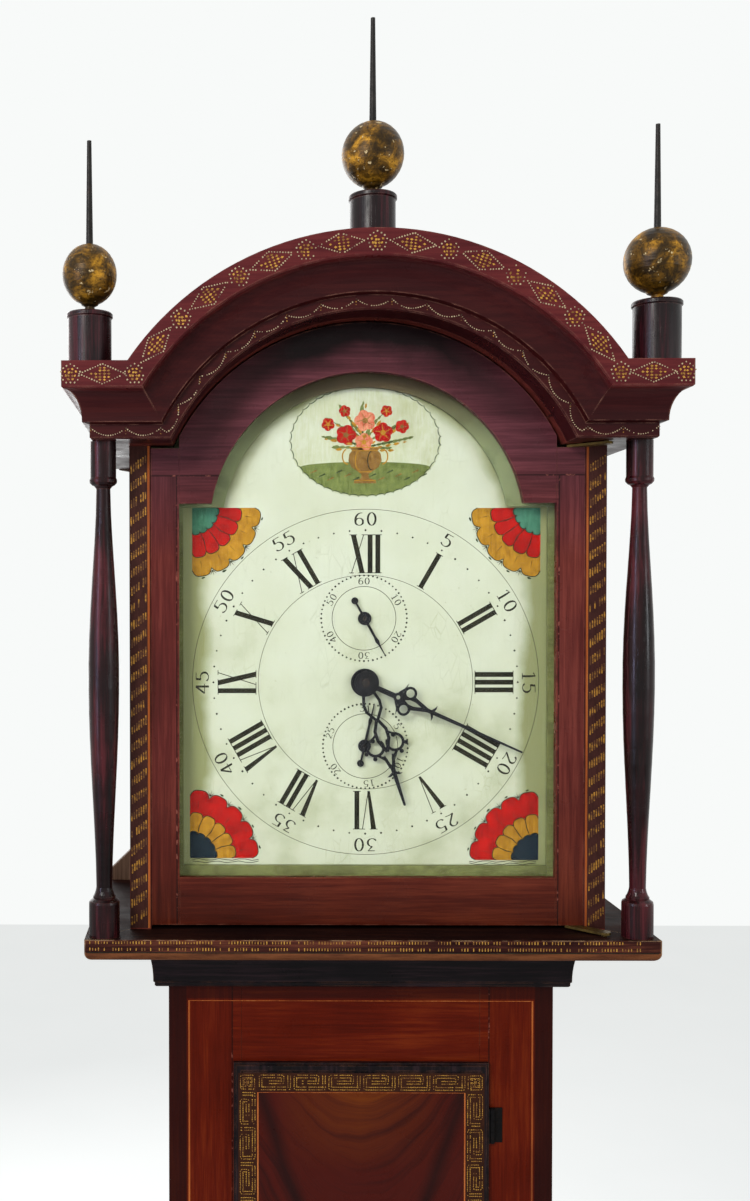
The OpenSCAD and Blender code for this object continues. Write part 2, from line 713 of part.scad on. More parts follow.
// Points where the arched cornice meets its level ends, at the band's edge and at the top
mitre_low = [sqrt(pow(arch_r, 2) - pow(z_band - z_arch, 2)), z_band];
mitre_high = [sqrt(pow(arch_r + cornice_h, 2) - pow(z_top - z_arch, 2)), z_top];
module cornice() {
    y_face = y_door - front_extra;
    slope = mitre_high - mitre_low;
    low_end = mitre_low - 0.4 * slope;
    high_end = mitre_high + 3 * slope;
    color(mahogany) {
        difference() {
            union() {
                intersection() {
                    translate([0, y_face, z_arch]) upright() rotate_extrude($fn = 128)
                        polygon([for (p = cornice_profile) [arch_r + p[1], p[0]]]);
                    slab(y_face - fascia_run - 1, y_face + 1)
                        polygon([low_end, high_end, [-high_end[0], high_end[1]], [-low_end[0], low_end[1]]]);
                }
                intersection() {
                    translate([0, 0, z_band])
                        front_run(cornice_profile, hood_hw, y_face, 0, fascia_run);
                    both_sides() slab(y_face - fascia_run - 1, y_face + 1)
                        polygon([mitre_low - [0.05, 0], [hood_w, z_band], [hood_w, z_top],
                                 mitre_high - [0.05, 0]]);
                }
            }
            translate([pivot_x, y_door - pivot_run, z_band - 1])
                cylinder(r = pivot_r + tenon_clear, h = 10);
        }
        translate([0, 0, z_band]) both_sides()
            return_run(cornice_profile, hood_hw, y_face, 0, fascia_run, y_back - run_gap);
    }
}

// Columns: one turning each, with base, swelling shaft and cap
module column() {
    z_base = z_ledge + column_base_h;
    z_cap = z_band - cap_h;
    flare = 10;
    z_low = z_base + flare;
    z_high = z_cap - 7;
    belly = 0.53;
    steps = 16;
    base_r = column_d / 2;
    function shaft_r(t) =
        let (end_r = t < belly ? ankle_d / 2 : neck_d / 2,
             rise = t < belly ? t / belly : (1 - t) / (1 - belly))
        end_r + (base_r - end_r) * pow(sin(90 * rise), 1.6);
    rotate_extrude() polygon(concat(
        [[0, z_ledge], [base_r, z_ledge], [base_r, z_base - 3], [base_r - 0.4, z_base - 1.2],
         [base_r - 2, z_base], [base_r - 3.4, z_base + 1], [base_r - 3.2, z_base + 2.4],
         [base_r - 4.4, z_base + 4.2], [ankle_d / 2 + 0.6, z_base + 7]],
        [for (i = [0 : steps]) let (t = i / steps) [shaft_r(t), z_low + t * (z_high - z_low)]],
        [[neck_d / 2 + 1.6, z_high + 2], [neck_d / 2 + 3.6, z_high + 3], [cap_d / 2 - 0.2, z_cap - 2],
         [cap_d / 2, z_cap], [cap_d / 2 - 0.8, z_cap + 2], [cap_d / 2 - 0.8, z_band], [0, z_band]]));
}
module columns() {
    color(dark_mahogany) both_sides()
        translate([column_x, y_door - column_run, 0]) column();
}

// Finials: sideways place, height of the seat, diameter and height of the plinth, ball
z_arch_top = z_arch + arch_r + cornice_h;
finials = [
    [-finial_x, z_top, left_plinth_d, left_plinth_h, left_ball_d, 1.12],
    [0, z_arch_top, centre_plinth_d, centre_plinth_h, centre_ball_d, 1.05],
    [finial_x, z_top, right_plinth_d, right_plinth_h, right_ball_d, 1]];
rim_run = 1.1;
rim_h = 3.4;
module finial_plinths() {
    coped = 6;
    color(dark_mahogany) difference() {
        for (f = finials) translate([f[0], y_door - finial_run, 0]) rotate_extrude() {
            foot = f[1] - (f[0] == 0 ? coped : 0);
            top = f[1] + f[3];
            r = f[2] / 2;
            polygon([[0, foot], [r, foot], [r, top - rim_h - 1], [r + rim_run, top - rim_h],
                     [r + rim_run, top - 1], [r + rim_run - 0.8, top], [0, top]]);
        }
        translate([0, y_door, z_arch]) upright()
            cylinder(r = arch_r + cornice_h, h = 2 * fascia_run + 40, center = true, $fn = 128);
    }
}
module finial_balls() {
    socket_r = 2.1;
    color(gilt) for (f = finials)
        translate([f[0], y_door - finial_run, f[1] + f[3]]) rotate_extrude() {
            r = f[4] / 2;
            half = r * f[5];
            middle = neck_h - 1.5 + half;
            polygon(concat(
                [[0, 0], [0.36 * r, 0], [0.36 * r, 1.4], [0.2 * r, 2.6], [0.18 * r, neck_h - 2.8],
                 [0.3 * r, neck_h - 1.4]],
                [for (a = [-70 : 10 : 80]) [r * cos(a), middle + half * sin(a)]],
                [[socket_r, middle + half], [0, middle + half]]));
        }
}
module finial_spikes() {
    foot_r = 3.9;
    tip_r = 1.8;
    color(iron) for (f = finials)
        translate([f[0], y_door - finial_run, f[1] + f[3] + neck_h - 1.5 + f[4] * f[5]])
            cylinder(r1 = foot_r * 0.72, r2 = tip_r, h = spike_l);
}

// Opening of the hood door, grown by a margin
module door_opening(grow) {
    open_hw = door_hw - stile_w + grow;
    z_foot = z_door_foot + door_rail_h - grow;
    translate([-open_hw, z_foot]) square([2 * open_hw, z_dial + shoulder_z + grow - z_foot]);
    translate([0, z_dial + opening_arch_z]) circle(r = opening_r + grow, $fn = 128);
}
strap_t = 2;
z_door_foot = z_ledge + strap_t + 1.6;
z_stile_top = z_band - strap_t - 0.8;
door_arch_r = arch_r - 1.6;
rebate = 5;
glass_setback = 7;
y_door_rear = y_door + door_t - part_gap;
module hood_door_frame() {
    stile_x = door_hw - stile_w;
    color(red_mahogany) difference() {
        union() {
            both_sides() box(stile_x, door_hw, y_door, y_door_rear, z_door_foot, z_stile_top);
            box(-stile_x + joint_gap, stile_x - joint_gap, y_door, y_door_rear,
                z_door_foot, z_door_foot + door_rail_h);
            slab(y_door, y_door_rear) difference() {
                intersection() {
                    union() {
                        translate([0, z_arch]) circle(r = door_arch_r, $fn = 128);
                        translate([-stile_x, z_dial]) square([2 * stile_x, z_stile_top - z_dial]);
                    }
                    translate([-stile_x + joint_gap, z_dial + shoulder_z])
                        square([2 * (stile_x - joint_gap), hood_w]);
                }
                translate([0, z_dial + opening_arch_z]) circle(r = opening_r, $fn = 128);
            }
        }
        slab(y_door + glass_setback, y_door + door_t) door_opening(rebate);
    }
}
module hood_door_glass() {
    color("#dfe9e6", 0.3) slab(y_door + glass_setback, y_door + glass_setback + glass_t)
        door_opening(rebate - part_gap);
}
module pivot_strap() {
    y_pivot = y_door - pivot_run;
    linear_extrude(strap_t) difference() {
        union() {
            translate([pivot_x, y_pivot]) circle(r = 5);
            polygon([[door_hw - 15, y_door + 1], [pivot_x - 3.4, y_pivot - 3.6],
                     [pivot_x + 3.4, y_pivot + 3.6], [door_hw - 0.4, y_door - 1],
                     [door_hw - 0.4, y_door_rear - 2], [door_hw - 8, y_door_rear - 2]]);
        }
    }
}
module hood_door_pivots() {
    y_pivot = y_door - pivot_run;
    pin_l = 8;
    color(brass) {
        translate([0, 0, z_stile_top]) pivot_strap();
        translate([pivot_x, y_pivot, z_stile_top]) cylinder(r = pivot_r, h = z_band - z_stile_top + pin_l);
        translate([0, 0, z_door_foot - strap_t]) pivot_strap();
        translate([pivot_x, y_pivot, z_ledge - pin_l]) cylinder(r = pivot_r, h = z_door_foot - z_ledge + pin_l);
    }
}
mask_t = 4;
mask_foot = 154;
mask_reach = 30;
mask_shoulder = 147;
mask_arch_r = opening_r - 10.4;
module dial_mask() {
    outer = hood_hw - hood_side_t;
    y0 = y_door + door_t;
    y1 = y0 + mask_t;
    color(mask_grey) {
        both_sides() box(mask_hw, outer, y0, y1, z_dial - mask_foot - mask_reach, z_dial + mask_shoulder);
        box(-mask_hw + joint_gap, mask_hw - joint_gap, y0, y1,
            z_dial - mask_foot - mask_reach, z_dial - mask_foot);
        slab(y0, y1) difference() {
            union() {
                translate([-outer, z_dial + mask_shoulder + joint_gap])
                    square([2 * outer, z_roof_under - z_dial - mask_shoulder - 6]);
                intersection() {
                    translate([0, z_arch]) circle(r = arch_r + 10, $fn = 128);
                    translate([-outer, z_dial]) square([2 * outer, hood_w]);
                }
            }
            translate([0, z_dial + opening_arch_z]) circle(r = mask_arch_r, $fn = 128);
            translate([-hood_w, z_dial - hood_w + mask_shoulder + joint_gap]) square([2 * hood_w, hood_w]);
        }
    }
}

// Dial and movement frame
dial_drop = 166;
dial_shoulder_rise = 20;
dial_arch_r = opening_r + 19.6;
hour_hole_r = hour_pipe_r + 1.5;
module dial_board() {
    post_r = 5;
    color(dial_cream) difference() {
        union() {
            slab(y_dial, y_dial_back) {
                translate([-dial_hw, z_dial - dial_drop])
                    square([2 * dial_hw, dial_drop + shoulder_z + dial_shoulder_rise]);
                translate([0, z_dial + opening_arch_z]) circle(r = dial_arch_r, $fn = 128);
            }
            for (x = [-1, 1] * (plate_w / 2 - 9), h = [-plate_drop + 9, plate_rise - 9])
                at_arbor([x, h], y_dial_back - 0.5) cylinder(r = post_r, h = motion_gap + 0.5);
        }
        at_arbor([0, 0], y_dial - 1) cylinder(r = hour_hole_r, h = dial_t + 2);
        at_arbor(escape_at, y_dial - 1) cylinder(r = tenon_r + 1, h = dial_t + 2);
        at_arbor(date_at, y_dial - 1) cylinder(r = tenon_r + tenon_clear, h = dial_t + 2);
    }
}
tenon_arbors = [time_at, strike_at, third_at, escape_at, pin_at, warning_at, fly_at, hammer_at];
module plate_outline() {
    cut = 7;
    polygon([[-plate_w / 2, -plate_drop], [plate_w / 2, -plate_drop], [plate_w / 2, plate_rise - cut],
             [plate_w / 2 - cut, plate_rise], [-plate_w / 2 + cut, plate_rise],
             [-plate_w / 2, plate_rise - cut]]);
}
module arbor_hole(p, y, r, l = plate_t + 2) { at_arbor(p, y) cylinder(r = r + tenon_clear, h = l); }
minute_stud_r = 2.6;
module front_plate() {
    color(oak) {
        difference() {
            translate([0, 0, z_dial]) slab(y_plate, y_works) plate_outline();
            for (p = tenon_arbors) arbor_hole(p, y_plate - 1, tenon_r);
            arbor_hole(centre_at, y_plate - 1, arbor_r);
            arbor_hole(verge_at, y_plate - 1, tenon_r);
            arbor_hole(date_at, y_plate - 1, tenon_r, 6);
        }
        at_arbor(minute_at, y_plate - 15) cylinder(r = minute_stud_r, h = 16);
        at_arbor(day_at, y_plate - 18.5) cylinder(r = minute_stud_r, h = 19.5);
    }
}
module back_plate() {
    color(oak) {
        difference() {
            translate([0, 0, z_dial]) slab(y_back_plate, y_behind) plate_outline();
            for (p = tenon_arbors) arbor_hole(p, y_back_plate - 1, tenon_r);
            arbor_hole(centre_at, y_back_plate - 1, tenon_r);
            arbor_hole(verge_at, y_back_plate - 1, verge_r);
        }
        at_arbor(count_at, y_behind - 1) cylinder(r = minute_stud_r, h = 8);
    }
}
module plate_pillars() {
    color(cherry) for (x = [-1, 1] * (plate_w / 2 - 9), h = [-plate_drop + 9, plate_rise - 9])
        at_arbor([x, h], y_works) rotate_extrude() polygon([
            [0, 0], [7, 0], [7, 3], [5, 5], [4.6, plate_gap / 2], [5, plate_gap - 5],
            [7, plate_gap - 3], [7, plate_gap], [0, plate_gap]]);
}
cock_pin_r = 2;
bell_at = [6, y_works + 33];
bell_foot = 150;
bell_h = 40;
bell_r = 44;
module plate_brackets() {
    z_plate_top = z_dial + plate_rise;
    cock_hw = 7;
    color(brass) {
        box(-cock_hw, cock_hw, y_back_plate, pendulum_y + 10, z_plate_top, z_plate_top + 4);
        box(-cock_hw, cock_hw, pendulum_y + 6, pendulum_y + 10, z_verge - 8, z_plate_top + 4);
        translate([0, pendulum_y - 4, z_verge]) rotate([-90, 0, 0]) cylinder(r = cock_pin_r, h = 11);
    }
    post_x = 52;
    z_arm = z_dial + bell_foot + bell_h + 5;
    color(iron) {
        box(post_x, post_x + 9, y_back_plate + 1, y_behind - 1, z_plate_top, z_arm + 5);
        box(bell_at[0] - 4, post_x + 9, bell_at[1] - 4, bell_at[1] + 4, z_arm, z_arm + 5);
        box(post_x, post_x + 9, bell_at[1] - 4, y_behind - 1, z_arm, z_arm + 5);
        translate([bell_at[0], bell_at[1], z_arm - 4.9]) cylinder(r = 3, h = 6);
    }
}
module bell() {
    wall = 2.6;
    color("#a8925a") translate([bell_at[0], bell_at[1], z_dial + bell_foot]) rotate_extrude()
        polygon(concat(
            [[bell_r, 0], [bell_r - 1, 3], [bell_r - 4, 9]],
            [for (a = [20 : 10 : 80]) [(bell_r - 6) * cos(a) + 1, 9 + (bell_h - 9) * sin(a)]],
            [[0, bell_h], [0, bell_h - wall]],
            [for (a = [80 : -10 : 20]) [(bell_r - 6 - wall) * cos(a) + 1, 9 + (bell_h - 9 - wall) * sin(a)]],
            [[bell_r - 5.5 - wall, 7], [bell_r - 2 - wall, 2], [bell_r - wall, 0]]));
}

// Time train
module great_wheel(p, mesh_to) {
    at_arbor(p, y_works) {
        arbor();
        translate([0, 0, great_y]) wheel(great_teeth, great_m, great_t, bearing(p, mesh_to));
        translate([0, 0, great_y + great_t - 0.5]) cylinder(r = drum_r, h = drum_l + 0.5);
        translate([0, 0, great_y + great_t + drum_l - 3]) cylinder(r = drum_r + flange_lip, h = 3);
    }
}
// A pinion over the width of the wheel that drives it
module pinion(m, z, l, a, leaves = pinion_leaves) {
    translate([0, 0, z]) wheel(leaves, m, l, a, leaf = true);
}
module turned_wheel(teeth, m, z, a) {
    translate([0, 0, z]) difference() {
        wheel(teeth, m, wheel_t, a);
        face_groove(teeth * m * 0.36, teeth * m * 0.38, 0.6, -0.1);
    }
    translate([0, 0, z - boss_t]) cylinder(r = arbor_r + 3.2, h = boss_t + wheel_t);
}
module time_great_wheel() { color(cherry) great_wheel(time_at, centre_at); }
module centre_wheel() {
    front_l = y_works - minute_hand_y + 2.4;
    color(cherry) at_arbor(centre_at, y_works) {
        translate([0, 0, 0.6]) rod(arbor_r + 0.6, plate_gap - 1.2);
        translate([0, 0, -front_l]) rod(arbor_r, front_l + 1);
        translate([0, 0, plate_gap - 1]) rod(tenon_r, plate_t);
        pinion(great_m, great_y - 2, great_t + 4, bearing(centre_at, time_at));
        turned_wheel(centre_teeth, centre_m, centre_y, bearing(centre_at, third_at));
    }
}
module third_wheel() {
    color(cherry) at_arbor(third_at, y_works) {
        arbor();
        pinion(centre_m, centre_y - 2, wheel_t + 4, bearing(third_at, centre_at));
        turned_wheel(third_teeth, third_m, third_y, bearing(third_at, escape_at));
    }
}
module escape_wheel() {
    root_r = escape_r - 5;
    front_l = y_works - low_hand_y + 0.8;
    color(cherry) at_arbor(escape_at, y_works) {
        arbor();
        translate([0, 0, -front_l]) rod(tenon_r, front_l);
        pinion(third_m, third_y - 2, wheel_t + 4, bearing(escape_at, third_at));
        translate([0, 0, escape_y]) linear_extrude(3)
            polygon([for (i = [0 : escape_teeth - 1]) for (c = [[root_r, 0.12], [escape_r, 0.3], [escape_r, 0.42],
                                                         [root_r + 0.6, 0.8]])
                let (a = (i + c[1]) * 360 / escape_teeth) [c[0] * cos(a), c[0] * sin(a)]]);
        translate([0, 0, escape_y - boss_t]) cylinder(r = arbor_r + 3, h = boss_t + 3);
    }
}
pallet_gap = 1.7;
module verge() {
    crutch_l = 100;
    crutch_w = 5;
    fork_gap = 0.7;
    color(iron) {
        at_arbor(verge_at, y_works) {
            translate([0, 0, -plate_t + 1]) rod(tenon_r, plate_t);
            translate([0, 0, 0.6]) rod(verge_r, y_behind + 7.5 - y_works - 0.6);
            translate([0, 0, escape_y]) linear_extrude(3.4) difference() {
                union() {
                    circle(r = 5.5);
                    polygon([[-4, -5], [4, -5], [22, 8], [24, 16], [20.5, 19], [17, 12], [3, 5],
                             [-3, 5], [-17, 12], [-20.5, 19], [-24, 16], [-22, 8]]);
                }
                translate([0, verge_rise]) circle(r = escape_r + pallet_gap);
            }
        }
        box(-crutch_w / 2, crutch_w / 2, crutch_y, crutch_y + 2, z_verge - crutch_l, z_verge + 4);
        translate([0, crutch_y, z_verge - crutch_l]) both_sides()
            translate([rod_r + fork_gap, 0, 0]) cube([2, pendulum_y - crutch_y + 5, 4]);
        translate([-rod_r - fork_gap - 2, crutch_y, z_verge - crutch_l])
            cube([2 * (rod_r + fork_gap + 2), 2, 4]);
    }
}

// Motion work between the front plate and the dial
cannon_z = -6;
hour_z = -12.5;
day_z = -17.5;
date_z = -21.5;
module cannon_pinion() {
    front_l = y_plate - minute_hand_y - 0.1;
    color(cherry) at_arbor(centre_at, y_plate) difference() {
        union() {
            translate([0, 0, -front_l]) rod(cannon_r, front_l - 1);
            pinion(motion_m, cannon_z - 0.5, 5, bearing(centre_at, minute_at), leaves = cannon_teeth);
        }
        translate([0, 0, -front_l - 1]) rod(arbor_r + 0.05, front_l + 2);
    }
}
module minute_wheel() {
    color(cherry) at_arbor(minute_at, y_plate) difference() {
        union() {
            translate([0, 0, cannon_z]) wheel(minute_teeth, motion_m, 4, bearing(minute_at, centre_at));
            pinion(hour_m, hour_z - 1, hour_h + 3, bearing(minute_at, centre_at), leaves = minute_leaves);
        }
        translate([0, 0, -30]) rod(minute_stud_r + tenon_clear, 40);
    }
}
hour_h = 4.5;
module hour_wheel() {
    front_l = y_plate - hour_hand_y + 0.6;
    color(cherry) at_arbor(centre_at, y_plate) difference() {
        union() {
            translate([0, 0, -front_l]) rod(hour_pipe_r, front_l + hour_z + hour_h);
            translate([0, 0, hour_z]) wheel(hour_teeth, hour_m, hour_h, bearing(centre_at, minute_at));
            pinion(day_m, day_z, 3.5, bearing(centre_at, day_at), leaves = day_driver_teeth);
        }
        translate([0, 0, -front_l - 1]) rod(cannon_r + pipe_gap, front_l + 20);
    }
}
module day_wheel() {
    finger_r = 21.5;
    away = bearing(date_at, day_at);
    color(cherry) at_arbor(day_at, y_plate) difference() {
        union() {
            translate([0, 0, day_z]) wheel(day_teeth, day_m, 3.5, bearing(day_at, centre_at));
            translate([finger_r * cos(away), -finger_r * sin(away), day_z - 3.4]) rod(1.2, 4);
        }
        translate([0, 0, -30]) rod(minute_stud_r + tenon_clear, 40);
    }
}
module date_wheel() {
    front_l = y_plate - low_hand_y + 0.8;
    tip_r = 28.4;
    color(cherry) at_arbor(date_at, y_plate) {
        translate([0, 0, -front_l]) rod(tenon_r, front_l + 4);
        translate([0, 0, date_z + 2]) rod(tenon_r + 2, -date_z - 2.6);
        translate([0, 0, date_z]) linear_extrude(3)
            polygon([for (i = [0 : date_teeth - 1]) for (c = [[tip_r - 3.4, 0], [tip_r, 0.4], [tip_r, 0.55]])
                let (a = (i + c[1]) * 360 / date_teeth) [c[0] * cos(a), c[0] * sin(a)]]);
    }
}

// Hands: drawn pointing up, seen from the front
module hand_at(p, y, angle) {
    translate([p[0], y, z_dial + p[1]]) rotate([0, angle, 0]) upright() linear_extrude(hand_t) children();
}
module bar(p, q, w0, w1) {
    along = (q - p) / norm(q - p);
    across = [-along[1], along[0]];
    polygon([p - across * w0 / 2, q - across * w1 / 2, q + across * w1 / 2, p + across * w0 / 2]);
}
module ring(p, r, w) {
    translate(p) difference() {
        circle(r = r);
        circle(r = r - w);
    }
}
module barb(p, a, l) {
    translate(p) rotate(a) polygon([[-1.2, 0], [1.2, 0], [0.9, l * 0.55], [l * 0.22, l], [-0.6, l * 0.6]]);
}
module hub(r, hole_r) {
    difference() {
        circle(r = r);
        circle(r = hole_r);
    }
}
module minute_hand() {
    trefoil = 38;
    waist = 56;
    color(iron) hand_at(centre_at, minute_hand_y, minute_angle) difference() {
        union() {
            circle(r = 9);
            bar([0, 5], [0, trefoil - 10], 4.4, 4.6);
            polygon([[-3, trefoil - 11], [3, trefoil - 11], [6.5, trefoil - 4], [6, trefoil + 5],
                     [2, waist], [-2, waist], [-6, trefoil + 5], [-6.5, trefoil - 4]]);
            both_sides() {
                translate([7.2, trefoil]) circle(r = 5.6);
                barb([3.6, trefoil - 8.6], -56, 11);
                barb([1, waist + 5], -60, 6);
            }
            bar([0, waist - 2], [0, minute_hand_l - 1], 3.6, 1.6);
            translate([0, minute_hand_l - 0.9]) circle(r = 0.9);
        }
        circle(r = arbor_r + 0.05);
        translate([0, trefoil - 8]) circle(r = 1.7);
        translate([0, trefoil + 4])
            polygon([[0, -6], [1.9, -2], [1.9, 3], [0, 9], [-1.9, 3], [-1.9, -2]]);
        both_sides() translate([7.2, trefoil]) circle(r = 3.5);
    }
}
module hour_hand() {
    crossing = 32;
    scroll = 55;
    join = 75;
    color(iron) hand_at(centre_at, hour_hand_y, hour_angle) {
        hub(11.8, hour_pipe_r + 0.05);
        both_sides() {
            bar([4.5, 10], [7, 18], 2.6, 2.4);
            bar([7, 17], [6.4, 25], 2.4, 2.4);
            bar([6.6, 24], [0, crossing + 2], 2.4, 2.4);
            bar([0, crossing], [4.8, 42], 2.6, 2.6);
            bar([4.8, 41], [4.8, 51], 2.6, 2.6);
            bar([4.8, 50], [0, 61], 2.6, 3);
            bar([4, 64], [1.2, join], 2.2, 3);
            barb([5, 45], -58, 8);
            barb([1.4, join + 5], -60, 5.5);
            difference() {
                ring([8.6, scroll], 8, 2.3);
                translate([6.2, scroll - 2]) rotate(-150) square([6, 9]);
            }
            translate([9, scroll - 6.2]) circle(r = 1.9);
            translate([17.4, scroll + 3]) circle(r = 1.7);
            bar([15.4, scroll + 1.6], [17.4, scroll + 3], 1.6, 1.6);
            translate([11.6, scroll + 9]) circle(r = 1.8);
            bar([8.6, scroll + 6.8], [2.4, scroll + 13], 2, 2.4);
        }
        bar([0, join - 2], [0, hour_hand_l - 1], 4, 2);
        translate([0, hour_hand_l - 1]) circle(r = 1);
    }
}
module small_hand(l, hub_r, tail) {
    hub(hub_r, tenon_r + 0.05);
    bar([0, hub_r - 1], [0, l * 0.52], 2.2, 1.9);
    polygon([[-1, l * 0.5], [1, l * 0.5], [1.7, l * 0.6], [0.7, l * 0.7], [0.2, l], [-0.2, l],
             [-0.7, l * 0.7], [-1.7, l * 0.6]]);
    bar([0, -hub_r + 1], [0, -tail], 1.9, 1.6);
    translate([0, -tail - 2]) circle(r = 2.9);
}
module seconds_hand() {
    color(iron) hand_at(escape_at, low_hand_y, seconds_angle) small_hand(seconds_hand_l, 5.6, 15);
}
module date_hand() {
    color(iron) hand_at(date_at, low_hand_y, date_angle) small_hand(date_hand_l, 5.4, 13);
}

// Strike train
pin_y = 48;
module strike_great_wheel() { color(cherry) great_wheel(strike_at, pin_at); }
module pin_wheel() {
    color(cherry) at_arbor(pin_at, y_works) {
        arbor();
        translate([0, 0, plate_gap]) rod(tenon_r, plate_t + 7);
        pinion(great_m, great_y - 2, great_t + 4, bearing(pin_at, strike_at));
        turned_wheel(pin_teeth, pin_m, pin_y, bearing(pin_at, warning_at));
        for (i = [0 : pin_count - 1]) rotate(pin_phase + i * 360 / pin_count)
            translate([pin_circle_r, 0, pin_y - 6]) rod(pin_r, 7);
        pinion(count_m, plate_gap + plate_t + 1.5, 4.5, bearing(pin_at, count_at));
    }
}
module warning_wheel() {
    color(cherry) at_arbor(warning_at, y_works) {
        arbor();
        pinion(pin_m, pin_y - 1.5, wheel_t + 3, bearing(warning_at, pin_at), leaves = warning_leaves);
        turned_wheel(warning_teeth, warning_m, warning_y, bearing(warning_at, fly_at));
    }
}
module fly() {
    vane_r = 19.5;
    vane_l = 20;
    color(cherry) at_arbor(fly_at, y_works) {
        arbor();
        pinion(warning_m, warning_y - 2, wheel_t + 4, bearing(fly_at, warning_at));
        translate([-vane_r, -1, 9]) cube([2 * vane_r, 2, vane_l]);
        translate([0, 0, 8]) rod(arbor_r + 1.6, vane_l + 2);
    }
}
module count_wheel() {
    hours = 12;
    rim_r = count_teeth * count_m / 2 - 4;
    notch = 2.4;
    color(cherry) at_arbor(count_at, y_behind) difference() {
        union() {
            translate([0, 0, 1.8]) wheel(count_teeth, count_m, 3, bearing(count_at, pin_at));
            translate([0, 0, 3]) cylinder(r = rim_r, h = 4.6);
        }
        translate([0, 0, 4.8]) cylinder(r = rim_r - 4, h = 5);
        for (h = [1 : hours]) rotate(-h * (h + 1) / 2 * 360 / (hours * (hours + 1) / 2))
            translate([rim_r - 5, -notch / 2, 5.2]) cube([8, notch, 5]);
        rod(minute_stud_r + tenon_clear, 12);
    }
}
module hammer() {
    head_at = [bell_at[0] - bell_r - 1.4, z_dial + bell_foot + 4];
    tail_tip_w = 2;
    tail_tip = pin_at + (pin_circle_r + pin_r + 0.7 + tail_tip_w / 2) * [cos(135), sin(135)];
    arm_y = 31;
    tail_y = pin_y - 5;
    color(iron) {
        at_arbor(hammer_at, y_works) arbor();
        translate([0, y_works + arm_y, 0]) slab(0, 4) translate([0, z_dial])
            bar(hammer_at, [head_at[0] - 4, head_at[1] - z_dial], 6, 4);
        at_arbor(hammer_at, y_works + arm_y - 1) cylinder(r = 5, h = 6);
        translate([head_at[0] - 9, y_works + arm_y + 2, head_at[1]]) rotate([0, 90, 0]) cylinder(r = 4, h = 9);
        translate([0, y_works + tail_y, 0]) slab(0, 3) translate([0, z_dial]) bar(hammer_at, tail_tip, 5, tail_tip_w);
        at_arbor(hammer_at, y_works + tail_y - 1) cylinder(r = 4.4, h = 5);
    }
}

// Pendulum and weights
rod_r = 1.6;
z_bob = z_verge - pendulum_l;
nut_drop = bob_d / 2 + 12;
module pendulum_rod() {
    eye_r = 5;
    color(brass) {
        difference() {
            union() {
                translate([0, pendulum_y - 1.5, z_verge]) rotate([-90, 0, 0]) cylinder(r = eye_r, h = 3);
                translate([0, pendulum_y, z_bob - nut_drop]) rod(rod_r, pendulum_l + nut_drop - 2);
            }
            translate([0, pendulum_y - 3, z_verge]) rotate([-90, 0, 0])
                cylinder(r = cock_pin_r + tenon_clear, h = 6);
        }
        translate([0, pendulum_y, z_bob - bob_d / 2 - 9]) rod(5, 6);
    }
}
module pendulum_bob() {
    r = bob_d / 2;
    back = rod_r + 0.6;
    front = bob_t - back;
    color(brass) difference() {
        translate([0, pendulum_y, z_bob]) upright() rotate_extrude()
            polygon([[0, -back], [r - 1, -back], [r, 1 - back], [r, 1], [r - 2.5, 3], [0.8 * r, front * 0.5],
                     [0.55 * r, front * 0.8], [0.25 * r, front * 0.96], [0, front]]);
        box(-rod_r - 0.05, rod_r + 0.05, pendulum_y - rod_r - 0.05, pendulum_y + back + 1,
            z_bob - bob_d, z_bob + bob_d);
    }
}
weight_room = 80;
z_weight_top = z_cheek - weight_room - weight_fall;
weight_hook = 14;
module weight(x) {
    r = weight_d / 2;
    color("#5d5a50") translate([x, drum_y, z_weight_top]) rotate_extrude()
        polygon([[0, -weight_h], [r - 1.5, -weight_h], [r, -weight_h + 1.5], [r, -weight_h + 4],
                 [r - 0.8, -weight_h + 5], [r - 0.8, -5], [r, -4], [r, -1.5], [r - 1.5, 0], [6, 3],
                 [2.4, 5], [2.4, weight_hook], [0, weight_hook]]);
}
module time_weight() { weight(time_line_x); }
module strike_weight() { weight(strike_line_x); }
module line(x) {
    foot = z_weight_top + weight_hook;
    color("#b9a67c") translate([x, drum_y, foot])
        cylinder(r = line_d / 2, h = z_dial + time_at[1] - foot);
}
module time_line() { line(time_line_x); }
module strike_line() { line(strike_line_x); }

backboard();
waist_sides();
waist_front_frame();
throat_moulding();
base_moulding();
base_front();
base_sides();
base_floor();
bracket_feet();
seatboard();
waist_hinge_frames();
waist_door();
waist_door_hinges();
waist_door_lock();
lock_bolt();
hood_base();
hood_sides();
hood_front_frame();
cornice();
hood_roof();
columns();
finial_plinths();
finial_balls();
finial_spikes();
dial_mask();
hood_door_frame();
hood_door_glass();
hood_door_pivots();
dial_board();
front_plate();
back_plate();
plate_pillars();
plate_brackets();
bell();
time_great_wheel();
centre_wheel();
third_wheel();
escape_wheel();
verge();
cannon_pinion();
minute_hand();
minute_wheel();
hour_wheel();
hour_hand();
seconds_hand();
day_wheel();
date_wheel();
date_hand();
strike_great_wheel();
pin_wheel();
warning_wheel();
fly();
count_wheel();
hammer();
pendulum_rod();
pendulum_bob();
time_weight();
strike_weight();
time_line();
strike_line();
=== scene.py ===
"""Wooden works tall-case clock: woods, paint, gilding, studio and camera for the built parts."""
import logging
import math
import random
from dataclasses import dataclass, field
from enum import Enum
from functools import cached_property

import bmesh
import bpy
from mathutils import Matrix, Vector


